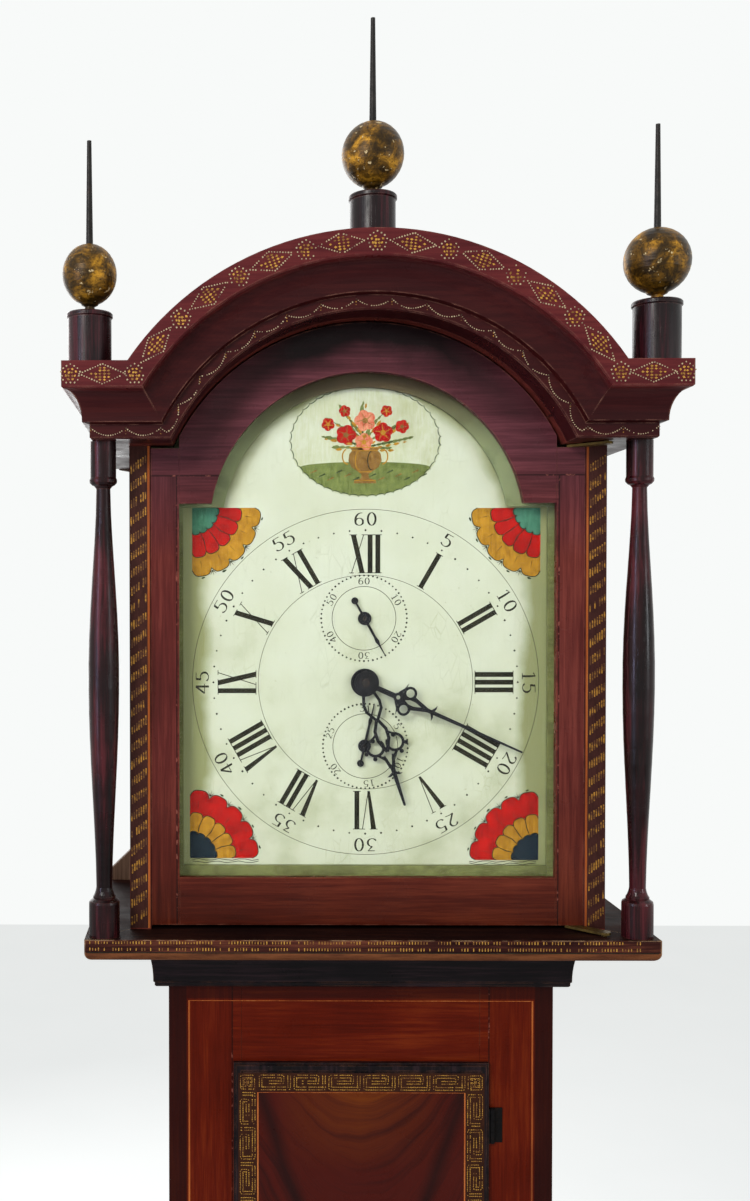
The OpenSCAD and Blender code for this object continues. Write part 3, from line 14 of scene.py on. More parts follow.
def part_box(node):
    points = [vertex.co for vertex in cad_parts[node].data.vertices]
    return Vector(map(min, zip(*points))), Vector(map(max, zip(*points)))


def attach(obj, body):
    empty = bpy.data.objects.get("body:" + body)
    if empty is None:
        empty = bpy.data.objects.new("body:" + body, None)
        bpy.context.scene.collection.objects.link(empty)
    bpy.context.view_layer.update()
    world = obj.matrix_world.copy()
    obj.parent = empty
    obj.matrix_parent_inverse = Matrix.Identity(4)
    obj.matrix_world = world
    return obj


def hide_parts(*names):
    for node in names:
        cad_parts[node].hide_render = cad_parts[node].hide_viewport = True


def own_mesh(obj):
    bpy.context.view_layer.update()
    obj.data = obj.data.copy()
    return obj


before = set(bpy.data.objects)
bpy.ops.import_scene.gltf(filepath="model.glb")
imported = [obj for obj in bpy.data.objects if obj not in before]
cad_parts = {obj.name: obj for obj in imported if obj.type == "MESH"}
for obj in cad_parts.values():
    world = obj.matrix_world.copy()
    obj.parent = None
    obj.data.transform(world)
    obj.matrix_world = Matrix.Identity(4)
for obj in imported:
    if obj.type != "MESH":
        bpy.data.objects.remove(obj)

LOG = logging.getLogger("clock")
MM = 0.001
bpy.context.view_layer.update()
# Heights of the hour circle's middle and of the springing of the hood's arches, in mm.
DIAL_Z = 1735.0
ARCH_Z = 1857.0
Point = tuple[float, float]
Triple = tuple[float, float, float]
Socket = bpy.types.NodeSocket
Material = bpy.types.Material


def linear(colour: str) -> tuple[float, float, float, float]:
    """Turn an sRGB hex colour into linear numbers.

    Args:
        colour: six hex digits after a hash sign.

    Returns:
        Linear red, green, blue and an alpha of 1.
    """
    parts = [int(colour[i:i + 2], 16) / 255 for i in (1, 3, 5)]
    red, green, blue = [p / 12.92 if p <= 0.04045 else ((p + 0.055) / 1.055) ** 2.4 for p in parts]
    return red, green, blue, 1.0


def per_mm(size: float) -> float:
    """Give the texture scale at which a pattern is that many mm across."""
    return 1.0 / (size * MM)


class Nodes:
    """A node tree that is written one node at a time."""

    # Settings that every node of a kind starts from.
    USUAL = {"Mix": {"data_type": "RGBA"}}

    def __init__(self, tree: bpy.types.NodeTree, family: str = "ShaderNode") -> None:
        """Start from an empty tree whose nodes are of one family."""
        self.tree, self.family = tree, family
        self.tree.nodes.clear()

    def add(self, kind: str, *given: Socket | float | str, named: dict | None = None, out: int | str = 0,
            stops: list[tuple[float, str]] | None = None, **settings: str | int | bool) -> Socket | None:
        """Add a node, set it and link it.

        Args:
            kind: the node's type name; the family's name may be left off.
            given: values, hex colours or output sockets for the inputs in use, in their order.
            named: the same by the input's name.
            out: the output that is wanted, by name or by its place among those in use.
            stops: places and hex colours for a colour ramp.
            settings: properties of the node itself.

        Returns:
            The wanted output socket, where the node has one.
        """
        node = self.tree.nodes.new(kind if "Node" in kind else self.family + kind)
        for key, value in (self.USUAL.get(kind, {}) | settings).items():
            setattr(node, key, value)
        pairs = list(zip([socket for socket in node.inputs if socket.enabled], given))
        pairs += [(node.inputs[key], value) for key, value in (named or {}).items()]
        for socket, value in pairs:
            if isinstance(value, Socket):
                self.tree.links.new(value, socket)
            else:
                socket.default_value = linear(value) if isinstance(value, str) else value
        if stops:
            ramp = node.color_ramp.elements
            ramp[0].position, ramp[1].position = stops[0][0], stops[-1][0]
            ramp[0].color, ramp[1].color = linear(stops[0][1]), linear(stops[-1][1])
            for place, colour in stops[1:-1]:
                ramp.new(place).color = linear(colour)
        if isinstance(out, str):
            return node.outputs[out]
        ready = [socket for socket in node.outputs if socket.enabled]
        return ready[out] if ready else None


class Graph(Nodes):
    """The node tree of one material, with its Principled shader at the end."""

    def __init__(self, name: str) -> None:
        """Start an empty tree.

        Args:
            name: the material's name.
        """
        self.material = bpy.data.materials.new(name)
        self.material.use_nodes = True
        super().__init__(self.material.node_tree)
        self.place = self.add("TexCoord", out="Object")

    @cached_property
    def axes(self) -> tuple[Socket, Socket, Socket]:
        """Give x, y and z of the object coordinates."""
        return tuple(self.add("SeparateXYZ", self.place).node.outputs)

    @cached_property
    def aside(self) -> Socket:
        """Give the distance to either side of the middle."""
        return self.add("Math", self.axes[0], operation="ABSOLUTE")

    @cached_property
    def reach(self) -> Socket:
        """Give the distance from the arch's middle, or below it from the upright middle line.

        Returns:
            The distance as a socket, in metres.
        """
        rise = self.add("Math", self.axes[2], ARCH_Z * MM, operation="SUBTRACT")
        rise = self.add("Math", rise, 0.0, operation="MAXIMUM")
        return self.add("VectorMath", self.add("CombineXYZ", self.axes[0], 0.0, rise), operation="LENGTH")

    def close(self, colour: Socket, rough: Socket | float, bump: Socket, deep_mm: float,
              **plain: float) -> Material:
        """End the tree in a Principled shader.

        Args:
            colour: base colour.
            rough: roughness.
            bump: height of the relief.
            deep_mm: depth of that relief.
            plain: other inputs of the shader, with _ for the spaces in their names.

        Returns:
            The finished material.
        """
        normal = self.add("Bump", named={"Height": bump, "Distance": deep_mm * MM, "Strength": 0.8})
        inputs = {"Base Color": colour, "Roughness": rough, "Normal": normal}
        inputs.update({key.replace("_", " "): value for key, value in plain.items()})
        self.add("OutputMaterial", self.add("BsdfPrincipled", named=inputs))
        return self.material


class Grain(Enum):
    """Which way the grain of a board runs: how far the pattern is drawn out along each axis."""

    UPRIGHT = (1.0, 1.0, 0.04)
    LEVEL = (0.04, 1.0, 1.0)
    FRAME = (0.0, 0.0, 0.0)


@dataclass(frozen=True)
class Wood:
    """A board finish: long streaks, broad tone, short pores, and edges rubbed paler.

    Attributes:
        name: the material's name.
        dark: colour of the grain's darkest lines and its pores.
        mid: colour of most of the wood.
        light: colour of the grain's lightest lines.
        grain: which way the grain runs.
        stile_x: how far from the middle a frame's stiles start, in mm.
        streak_mm: width of a streak.
        tone_mm: width of a broad patch.
        rough: roughness.
        shine: specular level.
        rubbed: colour of a rubbed edge.
        wear: how much of that colour shows.
        pores: how much the pores show.
        soot_r: radius in the arch beyond which the wood is darkened as painted shade under the cornice, in
            mm.
        flat: colour painted on the faces that look up, as painted shade.
        scuff_z: height of a lower edge that is scuffed, in mm.
        tip_y: an arbor's end is black in front of this, in mm.
        bare_y: the wood was never stained behind this, in mm.
        edge_x: a dark edge starts this far from the middle, in mm.
        top_z: the same dark edge starts at this height, in mm.
        head_z: a frame's arched head starts at this height, in mm.
        calm: how much the grain's contrast is softened.
        relief_mm: depth of the grain.
    """

    name: str
    dark: str
    mid: str
    light: str
    grain: Grain = Grain.UPRIGHT
    stile_x: float = 0.0
    streak_mm: float = 2.6
    tone_mm: float = 85.0
    rough: float = 0.42
    shine: float = 0.12
    rubbed: str = "#8a5b42"
    wear: float = 0.35
    pores: float = 0.35
    soot_r: float = 0.0
    flat: str = ""
    scuff_z: float = 0.0
    tip_y: float = 0.0
    bare_y: float = 0.0
    edge_x: float = 0.0
    top_z: float = 0.0
    head_z: float = 0.0
    calm: float = 0.0
    relief_mm: float = 0.12

    def along(self, g: Graph) -> Socket:
        """Draw the object coordinates out along the grain; a frame's rails run across its stiles.

        Args:
            g: the material's graph.

        Returns:
            The coordinates.
        """
        if self.grain is not Grain.FRAME:
            return g.add("Mapping", g.place, named={"Scale": self.grain.value})
        stile = g.add("Mapping", g.place, named={"Scale": Grain.UPRIGHT.value})
        another_board = (0.0, 0.0, 0.7)
        rail = g.add("Mapping", g.place, another_board, named={"Scale": Grain.LEVEL.value})
        upright = g.add("Math", g.aside, self.stile_x * MM, operation="GREATER_THAN")
        if self.head_z:
            below = g.add("Math", g.axes[2], self.head_z * MM, operation="LESS_THAN")
            upright = g.add("Math", upright, below, operation="MULTIPLY")
        return g.add("Mix", upright, rail, stile, data_type="VECTOR")

    def colour(self, g: Graph) -> tuple[Socket, Socket, Socket]:
        """Work out the board's colour and its relief.

        Args:
            g: the material's graph.

        Returns:
            The colour, the streaks and the pores.
        """
        along = self.along(g)
        streak = g.add("TexNoise", along, per_mm(self.streak_mm), 5.0, 0.62, named={"Distortion": 0.35})
        tone = g.add("TexNoise", along, per_mm(self.tone_mm / 4), 2.0, 0.5, named={"Distortion": 0.8})
        cloud = g.add("TexNoise", g.place, per_mm(self.tone_mm), 3.0, 0.5)
        mix = g.add("Math", streak, 0.42, operation="MULTIPLY")
        mix = g.add("Math", tone, 0.3, mix, operation="MULTIPLY_ADD")
        mix = g.add("Math", cloud, 0.28, mix, operation="MULTIPLY_ADD")
        base = g.add("ValToRGB", g.add("MapRange", mix, 0.4 - self.calm, 0.6 + self.calm),
                     stops=[(0.0, self.dark), (0.5, self.mid), (1.0, self.light)])
        # Real pores are 0.2 mm wide; these are drawn coarse enough to show.
        pore = g.add("MapRange", g.add("TexNoise", along, per_mm(0.9), 2.0, 0.7), 0.56, 0.7, 0.0, self.pores)
        base = g.add("Mix", pore, base, self.dark)
        return self.smoke(g, base) if self.soot_r else base, streak, pore

    def smoke(self, g: Graph, base: Socket) -> Socket:
        """Paint shade into the crown of the arch, under the cornice, fading to both sides.

        Args:
            g: the material's graph.
            base: the colour so far.

        Returns:
            The colour with the smoke.
        """
        ragged = g.add("TexNoise", g.place, per_mm(50.0), 4.0, 0.6)
        ragged = g.add("Math", ragged, 0.03, g.reach, operation="MULTIPLY_ADD")
        crown_shade = g.add("MapRange", ragged, self.soot_r * MM, (self.soot_r + 26.0) * MM, 0.0, 0.95)
        high = g.add("MapRange", g.axes[2], (ARCH_Z + 30.0) * MM, (ARCH_Z + 130.0) * MM)
        central = g.add("MapRange", g.aside, 60.0 * MM, 135.0 * MM, 1.0, 0.3)
        crown_shade = g.add("Math", crown_shade, g.add("Math", high, central, operation="MULTIPLY"), operation="MULTIPLY")
        # Painted shade: near black under the cornice, strongest at the middle of the crown.
        return g.add("Mix", crown_shade, base, "#0b0706")

    def marks(self, g: Graph, base: Socket, streak: Socket) -> Socket:
        """Tint the places where this board differs from a plain one.

        Args:
            g: the material's graph.
            base: the colour so far.
            streak: the streaks.

        Returns:
            The colour with those places.
        """
        _, y, z = g.axes
        if self.head_z:
            faded = g.add("MapRange", z, 1680.0 * MM, 1540.0 * MM, 0.0, 0.9)
            base = g.add("Mix", faded, base, "#d1bf7c", blend_type="MULTIPLY")
            # Painted sheen: the top of the door's head is turned grey-violet, as a reflection on its
            # varnish.
            painted_sheen = g.add("MapRange", z, 1840.0 * MM, 1930.0 * MM, 0.0, 0.7)
            base = g.add("Mix", painted_sheen, base, "#6b3d47", blend_type="COLOR")
        if self.tip_y:
            base = g.add("Mix", g.add("Math", y, self.tip_y * MM, operation="LESS_THAN"), base, "#1d1a17")
        if self.bare_y:
            bare = g.add("ValToRGB", g.add("MapRange", streak, 0.35, 0.65),
                         stops=[(0.0, "#3a2a1c"), (0.5, "#57412b"), (1.0, "#75593b")])
            base = g.add("Mix", g.add("Math", y, self.bare_y * MM, operation="GREATER_THAN"), base, bare)
        if self.edge_x:
            beside = g.add("MapRange", g.aside, self.edge_x * MM, (self.edge_x + 1.5) * MM, 0.0, 0.8)
            above = g.add("MapRange", z, self.top_z * MM, (self.top_z + 1.5) * MM, 0.0, 0.6)
            base = g.add("Mix", g.add("Math", beside, above, operation="MAXIMUM"), base, "#1a0b0a")
        return base

    def joints(self, g: Graph, base: Socket) -> Socket:
        """Draw the dark gap, chipped in places, where a frame's rails meet its stiles.

        Args:
            g: the material's graph.
            base: the colour so far.

        Returns:
            The colour with the gaps.
        """
        z = g.axes[2]
        gap = g.add("Math", g.add("Math", g.aside, self.stile_x * MM, operation="SUBTRACT"),
                    operation="ABSOLUTE")
        if self.head_z:
            over = g.add("Math", g.add("Math", z, self.head_z * MM, operation="SUBTRACT"),
                         operation="ABSOLUTE")
            above = g.add("MapRange", z, self.head_z * MM, (self.head_z + 1) * MM)
            gap = g.add("Math", over, g.add("Math", gap, above), operation="MINIMUM")
        chip = g.add("MapRange", g.add("TexNoise", g.place, per_mm(9.0), 4.0, 0.7), 0.58, 0.64)
        filled = g.add("Mix", chip, "#120807", "#96594a")
        return g.add("Mix", g.add("MapRange", gap, 0.9 * MM, 0.3 * MM, 0.0, 0.75), base, filled)

    def scuffs(self, g: Graph, base: Socket) -> Socket:
        """Wear a moulding's lower edge down to paler wood, in patches.

        Args:
            g: the material's graph.
            base: the colour so far.

        Returns:
            The colour with the worn edge.
        """
        z = g.axes[2]
        near = g.add("MapRange", z, (self.scuff_z + 0.4) * MM, self.scuff_z * MM)
        patch = g.add("Mapping", g.place, named={"Scale": (0.2, 1.0, 1.0)})
        patch = g.add("MapRange", g.add("TexNoise", patch, per_mm(9.0), 5.0, 0.65), 0.35, 0.6, 0.25, 0.9)
        low = g.add("Math", z, (self.scuff_z - 30.0) * MM, operation="GREATER_THAN")
        worn = g.add("Math", g.add("Math", near, patch, operation="MULTIPLY"), low, operation="MULTIPLY")
        return g.add("Mix", worn, base, "#85502f")

    def rub(self, g: Graph, base: Socket) -> Socket:
        """Make sharp edges paler where hands and dusters have rubbed them, in patches.

        Args:
            g: the material's graph.
            base: the colour so far.

        Returns:
            The colour with the rubbed edges.
        """
        soft = g.add("Bevel", 1.6 * MM, samples=4)
        same = g.add("VectorMath", soft, g.add("NewGeometry", out="Normal"), operation="DOT_PRODUCT")
        edge = g.add("MapRange", same, 0.995, 0.9)
        patch = g.add("MapRange", g.add("TexNoise", g.place, per_mm(14.0), 4.0, 0.65), 0.42, 0.62)
        worn = g.add("Math", edge, patch, operation="MULTIPLY")
        return g.add("Mix", g.add("Math", worn, self.wear, operation="MULTIPLY"), base, self.rubbed)

    def build(self) -> Material:
        """Build the material.

        Returns:
            The finished material.
        """
        g = Graph(self.name)
        base, streak, pore = self.colour(g)
        base = self.marks(g, base, streak)
        if self.grain is Grain.FRAME:
            base = self.joints(g, base)
        if self.scuff_z:
            base = self.scuffs(g, base)
        # Painted shade: faces that look up, such as the ledge's top under the hood door, go nearly black.
        if self.flat:
            upward = g.add("SeparateXYZ", g.add("NewGeometry", out="Normal"), out=2)
            base = g.add("Mix", g.add("MapRange", upward, 0.7, 0.95, 0.0, 0.8), base, self.flat)
        base = self.rub(g, base)
        rough = g.add("MapRange", g.add("TexNoise", g.place, per_mm(38.0), 4.0, 0.6), 0.35, 0.65,
                      self.rough - 0.07, self.rough + 0.12)
        relief = g.add("Math", pore, -1.2, streak, operation="MULTIPLY_ADD")
        return g.close(base, rough, relief, self.relief_mm, Specular_IOR_Level=self.shine)


@dataclass(frozen=True)
class CorniceWood(Wood):
    """Wood of the cornice: its cove is darker than the fascia, by darker paint and by painted shade, and the
    swag band nearly black.

    Sizes are in mm.
    """

    arch_r: float = 177.2
    band_z: float = 1932.4
    moulding: float = 58.6

    def colour(self, g: Graph) -> tuple[Socket, Socket, Socket]:
        """Darken the board's colour by the height within the moulding, along arch and ends alike; in the
        cove this is partly painted shade.

        Args:
            g: the material's graph.

        Returns:
            The colour, the streaks and the pores.
        """
        base, streak, pore = super().colour(g)
        within = g.add("Math", g.add("Math", g.reach, self.arch_r * MM, operation="SUBTRACT"),
                       g.add("Math", g.axes[2], self.band_z * MM, operation="SUBTRACT"),
                       operation="MINIMUM")
        # Darker paint on band and cove, and in the cove also painted shade under the fascia.
        shade = g.add("ValToRGB", g.add("MapRange", within, 0.0, self.moulding * MM),
                      stops=[(0.0, "#a09492"), (0.19, "#a09492"), (0.22, "#978e8c"), (0.6, "#a29a98"),
                             (0.64, "#f4eeee"), (1.0, "#ffffff")])
        return g.add("Mix", 1.0, base, shade, blend_type="MULTIPLY"), streak, pore


@dataclass(frozen=True)
class CrotchVeneer(Wood):
    """Mahogany cut at a fork of the tree: dark streaks that run down to the middle like a feather.

    Sizes are in mm.
    """

    core_low: float = 1310.0
    core_high: float = 1385.0
    vee_z: float = 1382.0
    corner_x: float = 89.0

    def colour(self, g: Graph) -> tuple[Socket, Socket, Socket]:
        """Lay the streaks along nested arches, with a bright heart and a dark V over them.

        Args:
            g: the material's graph.

        Returns:
            The colour, the streaks and the pores.
        """
        x, _, z = g.axes
        wobble = g.add("Math", g.add("TexNoise", g.place, per_mm(70.0), 2.0, 0.5), 0.5, operation="SUBTRACT")
        wobble = g.add("Math", wobble, 0.035, operation="MULTIPLY")
        bend = g.add("Math", g.add("Math", x, x, operation="MULTIPLY"), 11.0, operation="MULTIPLY")
        arch = g.add("Math", g.add("Math", z, bend, operation="SUBTRACT"), wobble)
        line = g.add("CombineXYZ", g.add("Math", x, 0.05, operation="MULTIPLY"), 0.0, arch)
        streak = g.add("TexNoise", line, per_mm(9.0), 5.0, 0.6, named={"Distortion": 0.1})
        plume = g.add("TexNoise", line, per_mm(60.0), 2.0, 0.5)
        mix = g.add("Math", plume, 0.64, g.add("Math", streak, 0.36, operation="MULTIPLY"),
                    operation="MULTIPLY_ADD")
        base = g.add("ValToRGB", g.add("MapRange", mix, 0.36, 0.64),
                     stops=[(0.0, self.dark), (0.5, self.mid), (1.0, self.mid)])
        core = g.add("Math", g.add("MapRange", g.aside, 75.0 * MM, 0.0),
                     g.add("MapRange", z, self.core_low * MM, self.core_high * MM), operation="MULTIPLY")
        core = g.add("Math", core, g.add("MapRange", mix, 0.4, 0.56), operation="MULTIPLY")
        base = g.add("Mix", core, base, self.light)
        slope = 0.34
        run = g.add("Math", g.add("Math", self.vee_z * MM, z, operation="SUBTRACT"), slope,
                    operation="MULTIPLY")
        off = g.add("Math", wobble, 0.3, g.add("Math", g.aside, run), operation="MULTIPLY_ADD")
        off = g.add("Math", off, self.corner_x * MM, operation="SUBTRACT")
        vee = g.add("MapRange", g.add("Math", off, operation="ABSOLUTE"), 11.0 * MM, 1.0 * MM, 0.0, 0.8)
        base = g.add("Mix", vee, base, self.dark)
        pore = g.add("MapRange", g.add("TexNoise", line, per_mm(1.6), 2.0, 0.7), 0.56, 0.7, 0.0, self.pores)
        return g.add("Mix", pore, base, self.dark), streak, pore


@dataclass(frozen=True)
class BrushPaint:
    """Old brushed paint: brush marks one way, cloudy colour, thin spots and grime.

    Attributes:
        name: the material's name.
        colour: the paint where it is thick.
        thin: the paint where it is thin.
        grime: colour of the dirt.
        size_mm: width of a cloud.
        brush: how far the brush marks are drawn out along each axis.
        rough: roughness.
        grimy: how much dirt shows.
        shine: specular level.
        arch: the colour above the springing of the arch, where it differs.
        crown: the colour at the top of the arch, painted shade under the door's head.
    """

    name: str
    colour: str
    thin: str
    grime: str = "#2a2416"
    size_mm: float = 9.0
    brush: Triple = (1.0, 1.0, 0.12)
    rough: float = 0.45
    grimy: float = 0.12
    shine: float = 0.12
    arch: str = ""
    crown: str = ""

    def build(self) -> Material:
        """Build the material.

        Returns:
            The finished material.
        """
        g = Graph(self.name)
        stroke = g.add("Mapping", g.place, named={"Scale": self.brush})
        stroke = g.add("TexNoise", stroke, per_mm(1.5), 4.0, 0.6)
        cloud = g.add("TexNoise", g.place, per_mm(self.size_mm), 4.0, 0.6, named={"Distortion": 0.4})
        part = g.add("Math", cloud, 0.55, g.add("Math", stroke, 0.45, operation="MULTIPLY"),
                     operation="MULTIPLY_ADD")
        base = g.add("Mix", g.add("MapRange", part, 0.38, 0.62), self.colour, self.thin)
        if self.arch:
            z = g.axes[2]
            spring = g.add("MapRange", z, (ARCH_Z - 5.0) * MM, (ARCH_Z + 40.0) * MM, 0.0, 0.85)
            base = g.add("Mix", spring, base, self.arch)
            # Painted shade at the top of the arch, under the door's head.
            top = g.add("MapRange", z, (ARCH_Z + 70.0) * MM, (ARCH_Z + 125.0) * MM)
            base = g.add("Mix", top, base, self.crown)
        dirt = g.add("MapRange", g.add("TexNoise", g.place, per_mm(30.0), 6.0, 0.7), 0.5, 0.72, 0.0,
                     self.grimy)
        base = g.add("Mix", dirt, base, self.grime)
        rough = g.add("MapRange", cloud, 0.3, 0.7, self.rough - 0.08, self.rough + 0.12)
        return g.close(base, rough, stroke, 0.05, Specular_IOR_Level=self.shine)


@dataclass(frozen=True)
class WornGold:
    """Stencilled bronze powder, yellow where it holds and brown where it has rubbed thin."""

    name: str
    gold: str
    worn: str
    kept: float = 0.5
    size_mm: float = 5.0
    metal: float = 0.35

    def build(self) -> Material:
        """Build the material.

        Returns:
            The finished material.
        """
        g = Graph(self.name)
        patch = g.add("TexNoise", g.place, per_mm(self.size_mm), 5.0, 0.7)
        # Single grains of the powder are far finer; these are drawn coarse enough to show.
        speck = g.add("TexNoise", g.place, per_mm(1.1), 2.0, 0.7)
        rubbed = g.add("MapRange", patch, self.kept - 0.06, self.kept + 0.08)
        base = g.add("Mix", rubbed, self.gold, self.worn)
        base = g.add("Mix", g.add("MapRange", speck, 0.55, 0.7, 0.0, 0.4), base, self.worn)
        return g.close(base, g.add("MapRange", patch, 0.3, 0.7, 0.38, 0.6), speck, 0.04,
                       Metallic=self.metal)


@dataclass(frozen=True)
class BallGilding:
    """Water gilding on a turned ball: dull gold, browned dark by smoky air, and knocks down to pale gesso.
    """

    name: str = "worn_water_gilding"

    def build(self) -> Material:
        """Build the material.

        Returns:
            The finished material.
        """
        g = Graph(self.name)
        cloud = g.add("TexNoise", g.place, per_mm(16.0), 5.0, 0.65, named={"Distortion": 0.6})
        base = g.add("ValToRGB", g.add("MapRange", cloud, 0.33, 0.68),
                     stops=[(0.0, "#241605"), (0.3, "#44300c"), (0.55, "#765214"), (1.0, "#d89c2c")])
        turning = g.add("Mapping", g.place, named={"Scale": (0.1, 0.1, 1.0)})
        turning = g.add("TexNoise", turning, per_mm(2.2), 3.0, 0.6)
        base = g.add("Mix", g.add("MapRange", turning, 0.52, 0.68, 0.0, 0.45), base, "#2c1e0a")
        speck = g.add("TexNoise", g.place, per_mm(1.8), 4.0, 0.75, named={"Distortion": 0.5})
        base = g.add("Mix", g.add("MapRange", speck, 0.54, 0.6, 0.0, 0.8), base, "#241807")
        chip = g.add("TexNoise", g.place, per_mm(5.2), 3.0, 0.6, named={"Distortion": 0.3})
        chip = g.add("MapRange", chip, 0.645, 0.675)
        base = g.add("Mix", chip, base, "#d9c08c")
        relief = g.add("Math", chip, -1.5, turning, operation="MULTIPLY_ADD")
        return g.close(base, g.add("MapRange", cloud, 0.3, 0.7, 0.3, 0.5), relief, 0.25, Metallic=0.3,
                       Specular_IOR_Level=0.25)


@dataclass(frozen=True)
class Metal:
    """A worked metal: its tarnish clouds, fine scratches or hammer marks, and rust or verdigris."""

    name: str
    bright: str
    dull: str
    rust: str
    rough: float
    metallic: float
    rusty: float = 0.3
    shine: float = 0.5

    def build(self) -> Material:
        """Build the material.

        Returns:
            The finished material.
        """
        g = Graph(self.name)
        cloud = g.add("TexNoise", g.place, per_mm(11.0), 5.0, 0.6)
        mark = g.add("TexNoise", g.place, per_mm(2.2), 3.0, 0.6)
        base = g.add("Mix", g.add("MapRange", cloud, 0.35, 0.65), self.bright, self.dull)
        spot = g.add("TexNoise", g.place, per_mm(6.0), 5.0, 0.72)
        base = g.add("Mix", g.add("MapRange", spot, 0.55, 0.68, 0.0, self.rusty), base, self.rust)
        rough = g.add("MapRange", mark, 0.3, 0.7, self.rough - 0.1, self.rough + 0.12)
        return g.close(base, rough, mark, 0.1, Metallic=self.metallic, Specular_IOR_Level=self.shine)


@dataclass(frozen=True)
class DialPaint:
    """Cream oil paint on the dial board: darker and yellower towards the bottom, yellowed paint and painted
    shade at the edges by the mask, with fine age cracks.
    """

    name: str = "aged_cream_dial_paint"
    light: str = "#c8cab4"
    mid: str = "#bfc1a6"
    # old is the colour of the edges: yellowed paint together with painted shade from the mask and the hood's
    # sides.
    old: str = "#888a5c"
    half: float = 144.0

    def build(self) -> Material:
        """Build the material.

        Returns:
            The finished material.
        """
        g = Graph(self.name)
        z = g.axes[2]
        cloud = g.add("TexNoise", g.place, per_mm(60.0), 5.0, 0.55)
        # Darker and yellower towards the bottom.
        low = g.add("MapRange", z, 1900.0 * MM, 1560.0 * MM, 0.0, 0.4)
        # Painted shade along the edges next to the mask and the hood's sides, together with yellowed border
        # paint.
        shoulder = g.add("MapRange", z, (ARCH_Z - 4.0) * MM, (ARCH_Z + 4.0) * MM, 0.0, 17.0 * MM)
        side = g.add("MapRange", g.add("Math", g.reach, shoulder), (self.half - 18.0) * MM, self.half * MM,
                     0.0, 0.9)
        age = g.add("Math", g.add("MapRange", cloud, 0.35, 0.7, 0.0, 0.5), low)
        base = g.add("ValToRGB", g.add("Math", age, side, use_clamp=True),
                     stops=[(0.0, self.light), (0.45, self.mid), (1.0, self.old)])
        brush = g.add("Mapping", g.place, named={"Scale": (1.0, 1.0, 0.04)})
        brush = g.add("TexNoise", brush, per_mm(2.4), 4.0, 0.6)
        base = g.add("Mix", g.add("MapRange", brush, 0.55, 0.75, 0.0, 0.2), base, "#aeb28c")
        crack = g.add("Mapping", g.place, named={"Scale": (1.0, 1.0, 0.4)})
        crack = g.add("TexVoronoi", crack, per_mm(7.0), feature="DISTANCE_TO_EDGE")
        fine = g.add("MapRange", crack, 0.0, 0.03, 1.0, 0.0)
        some = g.add("MapRange", g.add("TexNoise", g.place, per_mm(45.0), 3.0, 0.55), 0.5, 0.66, 0.0, 0.4)
        base = g.add("Mix", g.add("Math", fine, some, operation="MULTIPLY"), base, "#8f9168")
        fleck = g.add("TexNoise", g.place, per_mm(3.0), 2.0, 0.6)
        base = g.add("Mix", g.add("MapRange", fleck, 0.72, 0.76, 0.0, 0.5), base, "#8c8a62")
        relief = g.add("Math", fine, -0.5, brush, operation="MULTIPLY_ADD")
        return g.close(base, g.add("MapRange", cloud, 0.3, 0.7, 0.34, 0.5), relief, 0.05,
                       Specular_IOR_Level=0.4)


@dataclass(frozen=True)
class WindowGlass:
    """Old drawn glass: clear, faintly green, a little wavy; lamps shine through it.

    Its IOR is lower than real glass has, so that the dial shows through its reflections.
    """

    name: str = "old_drawn_glass"

    def build(self) -> Material:
        """Build the material.

        Returns:
            The finished material.
        """
        g = Graph(self.name)
        wave = g.add("Mapping", g.place, named={"Scale": (1.0, 1.0, 0.3)})
        wave = g.add("TexNoise", wave, per_mm(55.0), 2.0, 0.4)
        bump = g.add("Bump", named={"Height": wave, "Distance": 0.1 * MM, "Strength": 0.3})
        glass = g.add("BsdfPrincipled", named={"Base Color": "#fbfdfb", "Roughness": 0.02, "IOR": 1.12,
                                               "Transmission Weight": 1.0, "Normal": bump})
        clear = g.add("BsdfTransparent", "#f6faf8")
        lamp = g.add("LightPath", out="Is Shadow Ray")
        g.add("OutputMaterial", g.add("MixShader", lamp, glass, clear))
        return g.material


@dataclass(frozen=True)
class LaidCord:
    """Hemp cord: fibres that turn with its strands, pale brown with darker furrows."""

    name: str = "laid_hemp_cord"
    lay_mm: float = 3.0

    def build(self) -> Material:
        """Build the material.

        Returns:
            The finished material.
        """
        g = Graph(self.name)
        turned = g.add("Mapping", g.place, named={"Rotation": (0.0, 0.6, 0.6)})
        waves_a_unit = 0.31
        lay = g.add("TexWave", turned, waves_a_unit * per_mm(self.lay_mm), 1.0, bands_direction="Z")
        base = g.add("Mix", g.add("MapRange", lay, 0.2, 0.9), "#6f5c3a", "#b7a377")
        fibre = g.add("TexNoise", g.place, per_mm(0.8), 3.0, 0.7)
        base = g.add("Mix", g.add("MapRange", fibre, 0.4, 0.7, 0.0, 0.4), base, "#8d7a52")
        return g.close(base, 0.85, lay, 0.4)


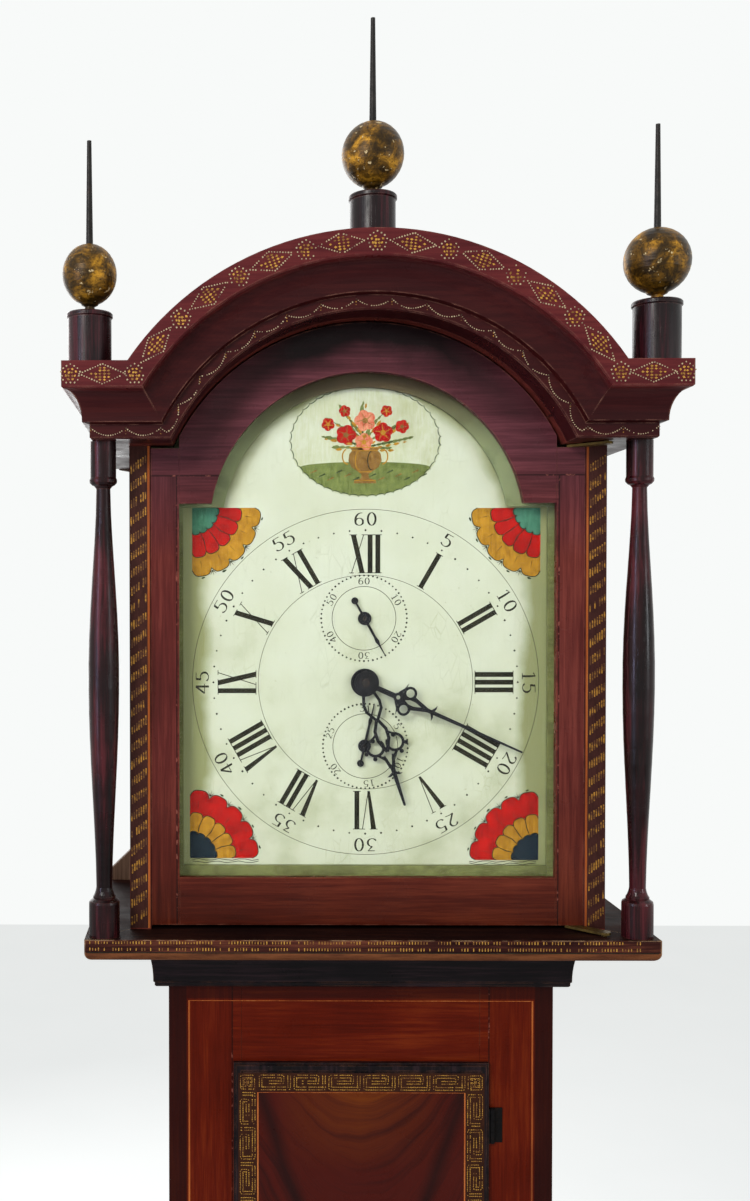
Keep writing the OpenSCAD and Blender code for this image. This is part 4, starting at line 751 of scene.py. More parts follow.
class Plane(Enum):
    """A wall that takes paint: its across, up and outward directions in the model."""

    FRONT = ((1, 0, 0), (0, 0, 1), (0, -1, 0))
    RIGHT = ((0, 1, 0), (0, 0, 1), (1, 0, 0))
    LEFT = ((0, -1, 0), (0, 0, 1), (-1, 0, 0))
    BACK = ((-1, 0, 0), (0, 0, 1), (0, 1, 0))

    def place(self, u: float, v: float, depth: float) -> Vector:
        """Turn a spot on the wall into a point of the model.

        Args:
            u: distance across the wall, in mm.
            v: height, in mm.
            depth: the wall's place along its own axis, in mm.

        Returns:
            The point, in metres.
        """
        across, up, out = [Vector(c) for c in self.value]
        axis = Vector([abs(c) for c in out])
        return (across * u + up * v + axis * depth) * MM

    def line(self, path: list[Point], depth: float) -> list[Vector]:
        """Turn a path on the wall at that depth into points of the model."""
        return [self.place(u, v, depth) for u, v in path]

    def outward(self) -> Vector:
        """Give the direction that the wall faces."""
        return Vector(self.value[2])


def place_object(name: str, mesh: bpy.types.Mesh) -> bpy.types.Object:
    """Put a mesh in the scene as an object at the origin.

    Args:
        name: the object's name.
        mesh: its mesh.

    Returns:
        The object.
    """
    obj = bpy.data.objects.new(name, mesh)
    bpy.context.scene.collection.objects.link(obj)
    return obj


def place_mesh(name: str, mesh: bmesh.types.BMesh, finishes: tuple[Material, ...] = ()) -> bpy.types.Object:
    """Turn faces into an object at the origin, and free them.

    Args:
        name: the object's name.
        mesh: its faces.
        finishes: its materials.

    Returns:
        The object.
    """
    data = bpy.data.meshes.new(name)
    mesh.to_mesh(data)
    mesh.free()
    for finish in finishes:
        data.materials.append(finish)
    return place_object(name, data)


def settle(obj: bpy.types.Object, body: str) -> bpy.types.Object:
    """Give a finished piece its body, and report it.

    Args:
        obj: the piece.
        body: the body that it rides on.

    Returns:
        The piece.
    """
    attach(obj, body)
    LOG.info("made %s on %s, %d faces", obj.name, body, len(obj.data.polygons))
    return obj


def polar(middle: Point, radius: float, angle: float) -> Point:
    """Give the point at that radius and angle in degrees, anticlockwise from the right."""
    return (middle[0] + radius * math.cos(math.radians(angle)),
            middle[1] + radius * math.sin(math.radians(angle)))


def bow(middle: Point, wide: float, high: float, start: float, end: float, steps: int = 10) -> list[Point]:
    """Give points along part of an oval, anticlockwise from the right.

    Args:
        middle: its middle.
        wide: half its width.
        high: half its height.
        start: where the part begins, in degrees.
        end: where it ends.
        steps: how many equal steps it has.

    Returns:
        The points.
    """
    turns = [math.radians(start + (end - start) * i / steps) for i in range(steps + 1)]
    return [(middle[0] + wide * math.cos(t), middle[1] + high * math.sin(t)) for t in turns]


class Painting:
    """Flat painted shapes on one wall, each coat a hair above the last."""

    # Thickness of a coat and of a hair in mm, and how many shapes there are before the hairs start again.
    COAT = 0.05
    HAIR = 0.004
    TURNS = 12

    def __init__(self, name: str, plane: Plane, depth: float) -> None:
        """Start a painting.

        Args:
            name: the piece's name.
            plane: the wall.
            depth: the wall's place along its own axis, in mm.
        """
        self.name, self.plane, self.depth, self.shapes = name, plane, depth, 0
        self.mesh = bmesh.new()
        self.finishes: list[Material] = []

    def fill(self, outline: list[Point], finish: Material, coat: int = 1) -> None:
        """Fill an outline. Shapes of one coat differ by a hair, because faces in one plane would flicker.

        Args:
            outline: points in mm on the wall.
            finish: its paint.
            coat: how many coats lie under it.
        """
        if finish not in self.finishes:
            self.finishes.append(finish)
        self.shapes += 1
        out = self.plane.outward() * ((coat * self.COAT + self.shapes % self.TURNS * self.HAIR) * MM)
        area = sum(p[0] * q[1] - q[0] * p[1] for p, q in zip(outline, outline[1:] + outline[:1]))
        ordered = outline if area > 0 else outline[::-1]
        corners = [self.mesh.verts.new(point + out) for point in self.plane.line(ordered, self.depth)]
        self.mesh.faces.new(corners).material_index = self.finishes.index(finish)

    def stroke(self, path: list[Point], widths: float | list[float], finish: Material,
               coat: int = 1, closed: bool = False) -> None:
        """Draw a stroke of even or changing width along a path.

        Args:
            path: points in mm.
            widths: one width, or one for each point.
            finish: its paint.
            coat: how many coats lie under it.
            closed: whether the path comes back to its start.
        """
        if isinstance(widths, (int, float)):
            widths = [float(widths)] * len(path)
        count = len(path)
        left, right = [], []
        for i, (u, v) in enumerate(path):
            before = path[i - 1] if i or closed else path[i]
            after = path[(i + 1) % count] if i < count - 1 or closed else path[i]
            du, dv = after[0] - before[0], after[1] - before[1]
            size = math.hypot(du, dv) or 1.0
            nu, nv = -dv / size * widths[i] / 2, du / size * widths[i] / 2
            left.append((u + nu, v + nv))
            right.append((u - nu, v - nv))
        for i in range(count if closed else count - 1):
            j = (i + 1) % count
            self.fill([right[i], right[j], left[j], left[i]], finish, coat)

    def disc(self, middle: Point, radius: float, finish: Material, coat: int, sides: int) -> None:
        """Paint a round spot.

        Args:
            middle: its middle.
            radius: its radius in mm.
            finish: its paint.
            coat: how many coats lie under it.
            sides: how many sides it has.
        """
        self.fill([(middle[0] + radius * math.cos(2 * math.pi * i / sides),
                    middle[1] + radius * math.sin(2 * math.pi * i / sides)) for i in range(sides)],
                  finish, coat)

    def circle(self, middle: Point, radius: float, width: float, finish: Material) -> None:
        """Draw a thin circle.

        Args:
            middle: its middle.
            radius: its radius in mm.
            width: the line's width in mm.
            finish: its paint.
        """
        steps = max(8, int(radius * 3))
        path = [polar(middle, radius, 360.0 * i / steps) for i in range(steps)]
        self.stroke(path, width, finish, closed=True)

    def finish(self, body: str, slot: str) -> bpy.types.Object:
        """Turn the shapes into one piece that rides on a body."""
        return settle(place_mesh(self.name, self.mesh, tuple(self.finishes)), body)


@dataclass(frozen=True)
class Repeater:
    """Geometry Nodes that set one small motif along paths on a wall, and leave a few out.

    Attributes:
        name: the piece's name.
        finish: its material.
        motif: the motif's outlines, in mm.
        spacing_mm: distance from one to the next, or 0 for one at each point of the paths.
        kept: share of the motifs that aren't left out.
        smallest: scale of the smallest one.
        largest: scale of the largest one.
        level: whether each stays level and doesn't turn with its path.
        relief_mm: height of a domed motif, or 0 for a flat one.
        seed: seed of the random sizes and gaps.
    """

    name: str
    finish: Material
    motif: tuple[tuple[Point, ...], ...]
    spacing_mm: float = 0.0
    kept: float = 1.0
    smallest: float = 0.92
    largest: float = 1.08
    level: bool = False
    relief_mm: float = 0.0
    seed: int = 5

    DOME = 0.62
    INPUTS = {"Path": "Geometry", "Motif": "Object", "Spacing": "Float", "Kept": "Float",
              "Smallest": "Float", "Largest": "Float", "Facing": "Vector", "Across": "Vector",
              "Seed": "Int", "Finish": "Material"}

    def stamp(self) -> bpy.types.Object:
        """Build the motif.

        Returns:
            One motif about the origin, flat or domed.
        """
        mesh = bmesh.new()
        for outline in self.motif:
            foot = [mesh.verts.new((u * MM, v * MM, 0.0)) for u, v in outline]
            if self.relief_mm:
                top = [mesh.verts.new((u * self.DOME * MM, v * self.DOME * MM, self.relief_mm * MM))
                       for u, v in outline]
                for i, corner in enumerate(foot):
                    j = (i + 1) % len(foot)
                    mesh.faces.new([corner, foot[j], top[j], top[i]])
                foot = top
            mesh.faces.new(foot)
        return place_mesh(self.name + "_motif", mesh)

    def tree(self) -> tuple[bpy.types.NodeTree, dict[str, str]]:
        """Build the node tree.

        Returns:
            The tree, and each input's identifier by its name.
        """
        tree = bpy.data.node_groups.new(self.name, "GeometryNodeTree")
        names = {}
        for label, kind in self.INPUTS.items():
            item = tree.interface.new_socket(label, in_out="INPUT", socket_type="NodeSocket" + kind)
            names[label] = item.identifier
        tree.interface.new_socket("Geometry", in_out="OUTPUT", socket_type="NodeSocketGeometry")
        n = Nodes(tree, "GeometryNode")
        given = n.add("NodeGroupInput").node.outputs
        line = n.add("MeshToCurve", given["Path"])
        if self.spacing_mm:
            line = n.add("ResampleCurve", line, named={"Length": given["Spacing"]}, mode="LENGTH")
        across = given["Across"] if self.level else n.add("InputTangent")
        facing = n.add("FunctionNodeAlignRotationToVector", named={"Vector": given["Facing"]}, axis="Z")
        turned = n.add("FunctionNodeAlignRotationToVector", named={"Rotation": facing, "Vector": across},
                       axis="X", pivot_axis="Z")
        keep = n.add("FunctionNodeRandomValue", given["Kept"], named={"Seed": given["Seed"]},
                     data_type="BOOLEAN")
        size = n.add("FunctionNodeRandomValue", given["Smallest"], given["Largest"],
                     named={"Seed": given["Seed"]}, data_type="FLOAT")
        motif = n.add("ObjectInfo", named={"Object": given["Motif"]}, out="Geometry")
        placed = n.add("InstanceOnPoints", named={"Points": line, "Selection": keep, "Instance": motif,
                                                  "Rotation": turned, "Scale": size})
        ready = n.add("SetMaterial", named={"Geometry": n.add("RealizeInstances", placed),
                                            "Material": given["Finish"]})
        n.add("NodeGroupOutput", ready)
        return tree, names

    def lay(self, paths: list[list[Vector]], plane: Plane, body: str, slot: str) -> bpy.types.Object:
        """Lay the motif along paths and keep the result as one plain mesh.

        Args:
            paths: each one's points in the model, in metres.
            plane: the wall that they lie on.
            body: the body that the result rides on.
            slot: not used.

        Returns:
            The finished piece.
        """
        data = bpy.data.meshes.new(self.name + "_path")
        points, edges = [], []
        for path in paths:
            edges += [(len(points) + i, len(points) + i + 1) for i in range(len(path) - 1)]
            points += [tuple(p) for p in path]
        data.from_pydata(points, edges, [])
        holder = place_object(self.name + "_path", data)
        motif = self.stamp()
        tree, names = self.tree()
        change = holder.modifiers.new("Repeat", "NODES")
        change.node_group = tree
        values = {"Motif": motif, "Spacing": self.spacing_mm * MM, "Kept": self.kept,
                  "Smallest": self.smallest, "Largest": self.largest,
                  "Facing": tuple(plane.outward()), "Across": tuple(Vector(plane.value[0])),
                  "Seed": self.seed, "Finish": self.finish}
        for label, value in values.items():
            change[names[label]] = value
        holder.update_tag()
        ready = holder.evaluated_get(bpy.context.evaluated_depsgraph_get())
        mesh = bpy.data.meshes.new_from_object(ready)
        mesh.materials.clear()
        mesh.materials.append(self.finish)
        bpy.data.objects.remove(holder)
        bpy.data.objects.remove(motif)
        bpy.data.node_groups.remove(tree)
        return settle(place_object(self.name, mesh), body)


def ring(radius: float, sides: int = 6) -> tuple[Point, ...]:
    """Give a small round outline about the origin, in mm."""
    return tuple(polar((0.0, 0.0), radius, 360.0 * i / sides) for i in range(sides))


def bar(wide: float, high: float, v: float = 0.0) -> tuple[Point, ...]:
    """Give a small upright bar with worn corners.

    Args:
        wide: its width in mm.
        high: its height in mm.
        v: how far it stands above the origin, in mm.

    Returns:
        Its outline.
    """
    a, b = wide / 2, high / 2
    return ((-a, v - b + a / 2), (0.0, v - b), (a, v - b + a / 2),
            (a, v + b - a / 2), (0.0, v + b), (-a, v + b - a / 2))


def lozenge(wide: float, high: float) -> tuple[Point, ...]:
    """Give a diamond outline about the origin, in mm."""
    return ((-wide / 2, 0.0), (0.0, -high / 2), (wide / 2, 0.0), (0.0, high / 2))


def made(finish: Wood | BrushPaint | WornGold | Metal) -> Material:
    """Give a field that holds this finish, built together with the object that it belongs to."""
    return field(default_factory=finish.build)


@dataclass
class Paints:
    """Every finish that more than one sub-assembly uses."""

    # Oil paint, brushed thin: soft gloss, cloudy colour, and dirt in the hollows.
    black: Material = made(BrushPaint("lamp_black_paint", "#16150f", "#2f2c1e", "#4a4632", 5.0, grimy=0.2))
    red: Material = made(BrushPaint("vermilion_paint", "#bb130b", "#860f0b", "#4a1410", 8.0, grimy=0.2))
    ochre: Material = made(BrushPaint("yellow_ochre_paint", "#b88524", "#8f6218", "#5a3c10", 6.0,
                                      grimy=0.25))
    navy: Material = made(BrushPaint("prussian_blue_paint", "#0d1620", "#22303a", "#3a3a2c", 5.0,
                                     grimy=0.15))
    green: Material = made(BrushPaint("dark_green_paint", "#1c2a17", "#35462a", "#3a3a20", 5.0, grimy=0.2))
    leaf: Material = made(BrushPaint("olive_green_paint", "#55602e", "#767f45", "#3c3a1c", 5.0, grimy=0.2))
    brown: Material = made(BrushPaint("umber_paint", "#6b4a1f", "#8f6a33", "#3a260e", 5.0, grimy=0.2))
    rose: Material = made(BrushPaint("faded_rose_paint", "#b8503a", "#d08a6a", "#6a2a1a", 5.0, grimy=0.15))
    # Holly is white when new, and orange under old varnish.
    stringing: Material = made(Wood("holly_stringing_under_old_varnish", "#8a4520", "#b9602a", "#cf7d40",
                                    streak_mm=3.0, pores=0.5, wear=0.1))
    # Bronze powder and pale paint rubbed through a stencil: ragged edges, and brown where they wore off.
    gold: Material = made(WornGold("bronze_powder_stencil", "#c48a2c", "#60381a", 0.46))
    bright_gold: Material = made(WornGold("fresh_bronze_powder", "#d09a3a", "#80521f"))
    cream: Material = made(WornGold("pale_stencil_paint", "#c9b188", "#6f5140", 0.56, metal=0.0))
    ground: Material = made(BrushPaint("maroon_black_ground", "#3a1d18", "#4c2a24", "#1c1010", 14.0))
    # Forged iron has a dull black scale, and old brass a brown tarnish with little shine.
    iron: Material = made(Metal("forged_iron", "#2a2724", "#171513", "#43291a", 0.5, 0.6))
    brass: Material = made(Metal("tarnished_brass", "#75602f", "#4a3a1a", "#33301c", 0.46, 0.85))


@dataclass
class Woodwork:
    """The woods, metals and paints of the pieces whose shape comes from the construction.

    Sizes are in mm.
    """

    paints: Paints
    waist_stile_x: float = 111.0
    door_stile_x: float = 157.5
    door_head_z: float = 1907.0
    waist_top_z: float = 1458.2

    def boards(self) -> dict[str, Material]:
        """Build the case woods.

        Returns:
            The material of each piece, by the piece's name.
        """
        # Birch stained red: an even, faint grain that shows through a thin shiny varnish.
        cornice = CorniceWood("stained_birch_cornice", "#471619", "#602325", "#7b3431", Grain.LEVEL,
                              streak_mm=3.2, rough=0.32, wear=0.55, rubbed="#b07c66",
                              calm=0.07, relief_mm=0.05).build()
        frame_wood = Wood("stained_birch_hood_front", "#451812", "#682c24", "#8a3d31", Grain.FRAME,
                          148.0, streak_mm=3.4, rough=0.34, rubbed="#93604c", calm=0.05,
                          relief_mm=0.05).build()
        # The door's head is darkened at the crown of its arch as painted shade under the cornice.
        door = Wood("red_mahogany_stain_on_birch", "#3f1612", "#632722", "#8a4136", Grain.FRAME,
                    self.door_stile_x, rough=0.3, rubbed="#b8745a", soot_r=150.0,
                    head_z=self.door_head_z, calm=0.07, relief_mm=0.04).build()
        dark = Wood("old_dark_stained_birch", "#26100c", "#3d1b15", "#572c22").build()
        # Its faces that look up are painted near black as shade.
        level = Wood("old_dark_stained_birch_moulding", "#241110", "#40211b", "#74402e", Grain.LEVEL,
                     rough=0.55, shine=0.04, wear=0.9, rubbed="#c09a72", flat="#0d0606",
                     scuff_z=1520.6).build()
        # Mahogany veneer: redder and deeper than the birch, with fine dark streaks.
        waist = Wood("mahogany_veneer", "#430c02", "#611806", "#82300e", Grain.FRAME,
                     self.waist_stile_x, rough=0.32, shine=0.08, edge_x=149.5,
                     top_z=self.waist_top_z, calm=0.06, relief_mm=0.04).build()
        base = Wood("mahogany_veneer_base", "#430c02", "#611806", "#82300e", Grain.LEVEL,
                    rough=0.32, shine=0.08, calm=0.06, relief_mm=0.04).build()
        # Ebonised birch: nearly black, smooth, and brown where it is rubbed through.
        throat = Wood("ebonised_birch_moulding", "#0c0a0b", "#161012", "#2e2023", Grain.LEVEL,
                      rough=0.32, wear=0.3).build()
        door_edge = Wood("ebonised_door_edge", "#0c0a0b", "#161012", "#2e2023", rough=0.32, wear=0.3,
                         bare_y=-15.5).build()
        column = Wood("ebonised_turned_birch", "#0e0405", "#260b0d", "#5a2126", rough=0.22,
                      shine=0.2, streak_mm=4.0, wear=0.4, rubbed="#7d4a40").build()
        plinth = Wood("ebonised_turned_plinth", "#0c0506", "#1f0c0f", "#4c1d24", rough=0.27,
                      shine=0.24, wear=0.5, rubbed="#8f6257").build()
        # Bare pine: dull, brown with age, with wide soft grain.
        pine = Wood("bare_old_pine", "#35251b", "#503a2a", "#6e5440", streak_mm=4.4, rough=0.62,
                    rubbed="#8a7250").build()
        seat = Wood("bare_old_pine_level", "#4e3720", "#6d5233", "#8f7048", Grain.LEVEL,
                    streak_mm=4.4, rough=0.62, rubbed="#a98a60").build()
        return {"cornice": cornice, "hood_front_frame": frame_wood, "hood_door_frame": door,
                "waist_front_frame": waist, "waist_door": door_edge, "base_front": base,
                "hood_sides": dark, "waist_sides": dark, "base_sides": dark, "hood_roof": dark,
                "hood_base": level, "base_moulding": level, "bracket_feet": level,
                "throat_moulding": throat, "columns": column, "finial_plinths": plinth,
                "backboard": pine, "base_floor": seat, "seatboard": seat}

    def movement(self) -> dict[str, Material]:
        """Build the movement's woods and metals, and the paint and glass before it.

        Returns:
            The material of each piece, by the piece's name.
        """
        brass, iron = self.paints.brass, self.paints.iron
        # Quartered oak: straight lines and long open pores.
        oak = Wood("quartered_oak_plate", "#54391c", "#775530", "#9a7748", streak_mm=1.8, rough=0.55,
                   pores=0.6, rubbed="#a98556").build()
        # Blued iron is nearly black, cast bell metal a yellow grey, and tinned iron a clouded grey.
        blued = Metal("blued_iron_hands", "#1d1c22", "#0f0e10", "#35241a", 0.38, 0.5, 0.2).build()
        bell = Metal("cast_bell_metal", "#a39468", "#7c6c44", "#4a5a44", 0.36, 0.9, 0.4).build()
        tin = Metal("tinned_sheet_iron", "#7d7b74", "#5f5c55", "#6a4a30", 0.44, 0.8, 0.5).build()
        hinge = Metal("blackened_iron_hinge", "#141211", "#0b0a0a", "#2c1a12", 0.6, 0.0,
                      shine=0.08).build()
        # The mask's crown colour is painted shade under the door's head.
        mask = BrushPaint("grey_green_mask_paint", "#5f6038", "#797c4b", "#3a3424", 16.0,
                          (0.2, 1.0, 1.0), 0.5, 0.5, arch="#8c946c", crown="#4c3f2a").build()
        return {"front_plate": oak, "back_plate": oak, "verge": iron, "hammer": iron, "bell": bell,
                "minute_hand": blued, "hour_hand": blued, "seconds_hand": blued, "date_hand": blued,
                "time_weight": tin, "strike_weight": tin,
                "pendulum_rod": brass, "pendulum_bob": brass, "plate_brackets": brass,
                "hood_door_pivots": brass, "waist_hinge_frames": hinge, "waist_door_hinges": hinge,
                "waist_door_lock": iron, "lock_bolt": iron, "finial_spikes": iron,
                "finial_balls": BallGilding().build(), "hood_door_glass": WindowGlass().build(),
                "dial_board": DialPaint().build(), "dial_mask": mask}

    def build(self) -> None:
        """Put the finishes on the pieces; turned and sawn cherry is what the others are made of."""
        chosen = self.boards() | self.movement()
        # Cherry fresh from the lathe: warm light brown, fine streaks, a dull gleam.
        cherry = Wood("turned_cherry", "#54301a", "#7d4c2a", "#a06c40", rough=0.5, shine=0.3,
                      streak_mm=2.0, pores=0.3, rubbed="#b48358", tip_y=-50.5).build()
        for name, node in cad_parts.items():
            finish = chosen.get(name, cherry)
            for place in node.material_slots:
                place.material = finish
            if not node.material_slots:
                node.data.materials.append(finish)
            LOG.info("dressed %s in %s", name, finish.name)


@dataclass
class WaistFront:
    """The waist's front: its inlaid line, and the base panel's.

    Sizes are in mm.
    """

    paints: Paints
    face_y: float = -25.9
    line_x: float = 148.4
    top_z: float = 1457.3
    low_z: float = 640.0
    width: float = 1.5
    base_y: float = -74.9
    base_x: float = 188.0
    base_high: float = 520.0
    base_low: float = 150.0
    cut: float = 26.0

    def build(self) -> None:
        """Inlay a light line round the waist's front and a line with cut-in corners on the base."""
        art = Painting("waist_stringing", Plane.FRONT, self.face_y)
        x, high, low = self.line_x, self.top_z, self.low_z
        art.stroke([(-x, low), (-x, high), (x, high), (x, low)], self.width, self.paints.stringing,
                   closed=True)
        art.finish("case", "red_mahogany")
        art = Painting("base_stringing", Plane.FRONT, self.base_y)
        x, cut = self.base_x, self.cut
        path = []
        for cx, cz, start in ((x, self.base_high, 180), (-x, self.base_high, 270),
                              (-x, self.base_low, 0), (x, self.base_low, 90)):
            path += bow((cx, cz), cut, cut, start, start + 90, 8)[::-1]
        art.stroke(path, self.width, self.paints.stringing, closed=True)
        art.finish("case", "red_mahogany")


@dataclass
class WaistDoor:
    """The waist door's face: crotch veneer, a thin light line, and a Greek key band in gold.

    Sizes are in mm.
    """

    paints: Paints
    face_y: float = -31.9
    top_z: float = 1396.5
    low_z: float = 723.4
    outer_x: float = 106.0
    band: float = 16.0
    pitch: float = 30.6
    margin: float = 2.7

    KEY = ((0.07, 0.0), (0.07, 1.0), (0.89, 1.0), (0.89, 0.02), (0.26, 0.02), (0.26, 0.5), (0.68, 0.5))

    def corners(self, inset: float) -> list[Point]:
        """Give the band's rectangle, drawn in by an inset, anticlockwise."""
        x, high, low = self.outer_x - inset, self.top_z - inset, self.low_z + inset
        return [(-x, low), (x, low), (x, high), (-x, high)]

    def key(self, start: Point, along: Point, count: int, pitch: float) -> list[list[Vector]]:
        """Give the paths of a run of key units.

        Args:
            start: where the run's outer edge begins.
            along: the direction that it runs in; the band lies to its left.
            count: how many units.
            pitch: their length.

        Returns:
            A path for each key.
        """
        deep = self.band - 2 * self.margin
        paths = []
        for i in range(count):
            path = []
            for a, b in self.KEY:
                run, rise = (i + a) * pitch, self.margin + b * deep
                path.append((start[0] + along[0] * run - along[1] * rise,
                             start[1] + along[1] * run + along[0] * rise))
            paths.append(Plane.FRONT.line(path, self.face_y - 0.25))
        return paths

    def build(self) -> None:
        """Lay the veneer, the band's ground, the line, the key and a square spiral at each corner."""
        veneer = CrotchVeneer("crotch_mahogany_veneer", "#220c0a", "#4c140c", "#7a3a0c",
                              rough=0.3, pores=0.3, wear=0.0).build()
        ground = BrushPaint("japanned_band_ground", "#2e150a", "#40200f", "#1a0c06", 12.0).build()
        art = Painting("waist_door_panel", Plane.FRONT, self.face_y)
        inner, outer = self.corners(self.band), self.corners(0.0)
        art.fill(inner, veneer)
        for i in range(4):
            j = (i + 1) % 4
            art.fill([outer[i], outer[j], inner[j], inner[i]], ground, 2)
        art.stroke(self.corners(self.band + 0.9), 1.2, self.paints.stringing, 3, closed=True)
        art.finish("waist_door", "red_mahogany")
        x, high, low, band = self.outer_x, self.top_z, self.low_z, self.band
        wide, tall = 2 * x - 2 * band, high - low - 2 * band
        across, up = round(wide / self.pitch), round(tall / self.pitch)
        paths = self.key((x - band, high), (-1.0, 0.0), across, wide / across)
        paths += self.key((-x + band, low), (1.0, 0.0), across, wide / across)
        paths += self.key((-x, high - band), (0.0, -1.0), up, tall / up)
        paths += self.key((x, low + band), (0.0, 1.0), up, tall / up)
        square = ((-1, -1), (1, -1), (1, 1), (-1, 1), (-1, -1))
        for cx in (-x + band / 2, x - band / 2):
            for cz in (high - band / 2, low + band / 2):
                paths += [Plane.FRONT.line([(cx + a * r, cz + b * r) for a, b in square], self.face_y - 0.25)
                          for r in (4.9, 1.6)]
        pair = (bar(1.4, 0.9, 1.15), bar(1.4, 0.9, -1.15))
        Repeater("waist_door_key_band", self.paints.bright_gold, pair, 1.55, 0.94,
                 seed=11).lay(paths, Plane.FRONT, "waist_door", "gilt_wood")


@dataclass
class HoodStrips:
    """The upright strips beside the columns: dark ground, a light line and slanting rows of gold.

    Sizes are in mm.
    """

    paints: Paints
    face_y: float = -70.9
    inner_x: float = 179.7
    outer_x: float = 196.3
    low_z: float = 1532.0
    high_z: float = 1931.6
    pitch: float = 14.4

    def build(self) -> None:
        """Paint both strips and lay the rows of strokes."""
        rng = random.Random(4)
        art = Painting("hood_strip_ground", Plane.FRONT, self.face_y)
        rows = []
        for side in (-1, 1):
            a, b = side * self.inner_x, side * self.outer_x
            left, right = min(a, b), max(a, b)
            art.fill([(left, self.low_z), (right, self.low_z), (right, self.high_z),
                      (left, self.high_z)], self.paints.ground)
            art.stroke([(a + side, self.low_z), (a + side, self.high_z)], 1.7, self.paints.stringing, 2)
            start, stop = (3.6, 1.4) if side > 0 else (1.6, 3.4)
            z = self.low_z + 6.0
            while z < self.high_z - 11.0:
                lift = rng.uniform(7.2, 9.2)
                rows.append(Plane.FRONT.line([(left + start + rng.uniform(-0.3, 0.3), z),
                                              (right - stop, z + lift)], self.face_y - 0.25))
                z += self.pitch
        art.finish("hood", "dark_mahogany")
        Repeater("hood_strip_strokes", self.paints.gold, (bar(1.15, 7.2),), 2.25, 0.96, 0.85, 1.12,
                 level=True, seed=7).lay(rows, Plane.FRONT, "hood", "gilt_wood")


@dataclass
class LedgeBand:
    """Two rows of small gold dashes in groups over a groove along the hood base's front edge.

    Sizes are in mm.
    """

    paints: Paints
    face_y: float = -105.9
    half: float = 227.0
    rows: tuple[float, float] = (1529.0, 1523.6)
    groove: float = 1520.8
    group: float = 56.0

    def build(self) -> None:
        """Lay the dashes in groups with small gaps."""
        paths = []
        for row in self.rows:
            x = -self.half
            while x < self.half - 12:
                end = min(x + self.group - 7, self.half)
                paths.append(Plane.FRONT.line([(x, row), (end, row)], self.face_y - 0.2))
                x += self.group
        art = Painting("ledge_groove_shadow", Plane.FRONT, self.face_y)
        art.stroke([(-self.half - 2.0, self.groove), (self.half + 2.0, self.groove)], 0.8, self.paints.black)
        art.finish("hood", "dark_mahogany")
        Repeater("ledge_dashes", self.paints.bright_gold, (bar(0.85, 2.6),), 2.3, 0.85, 0.75, 1.1,
                 level=True, seed=9).lay(paths, Plane.FRONT, "hood", "gilt_wood")


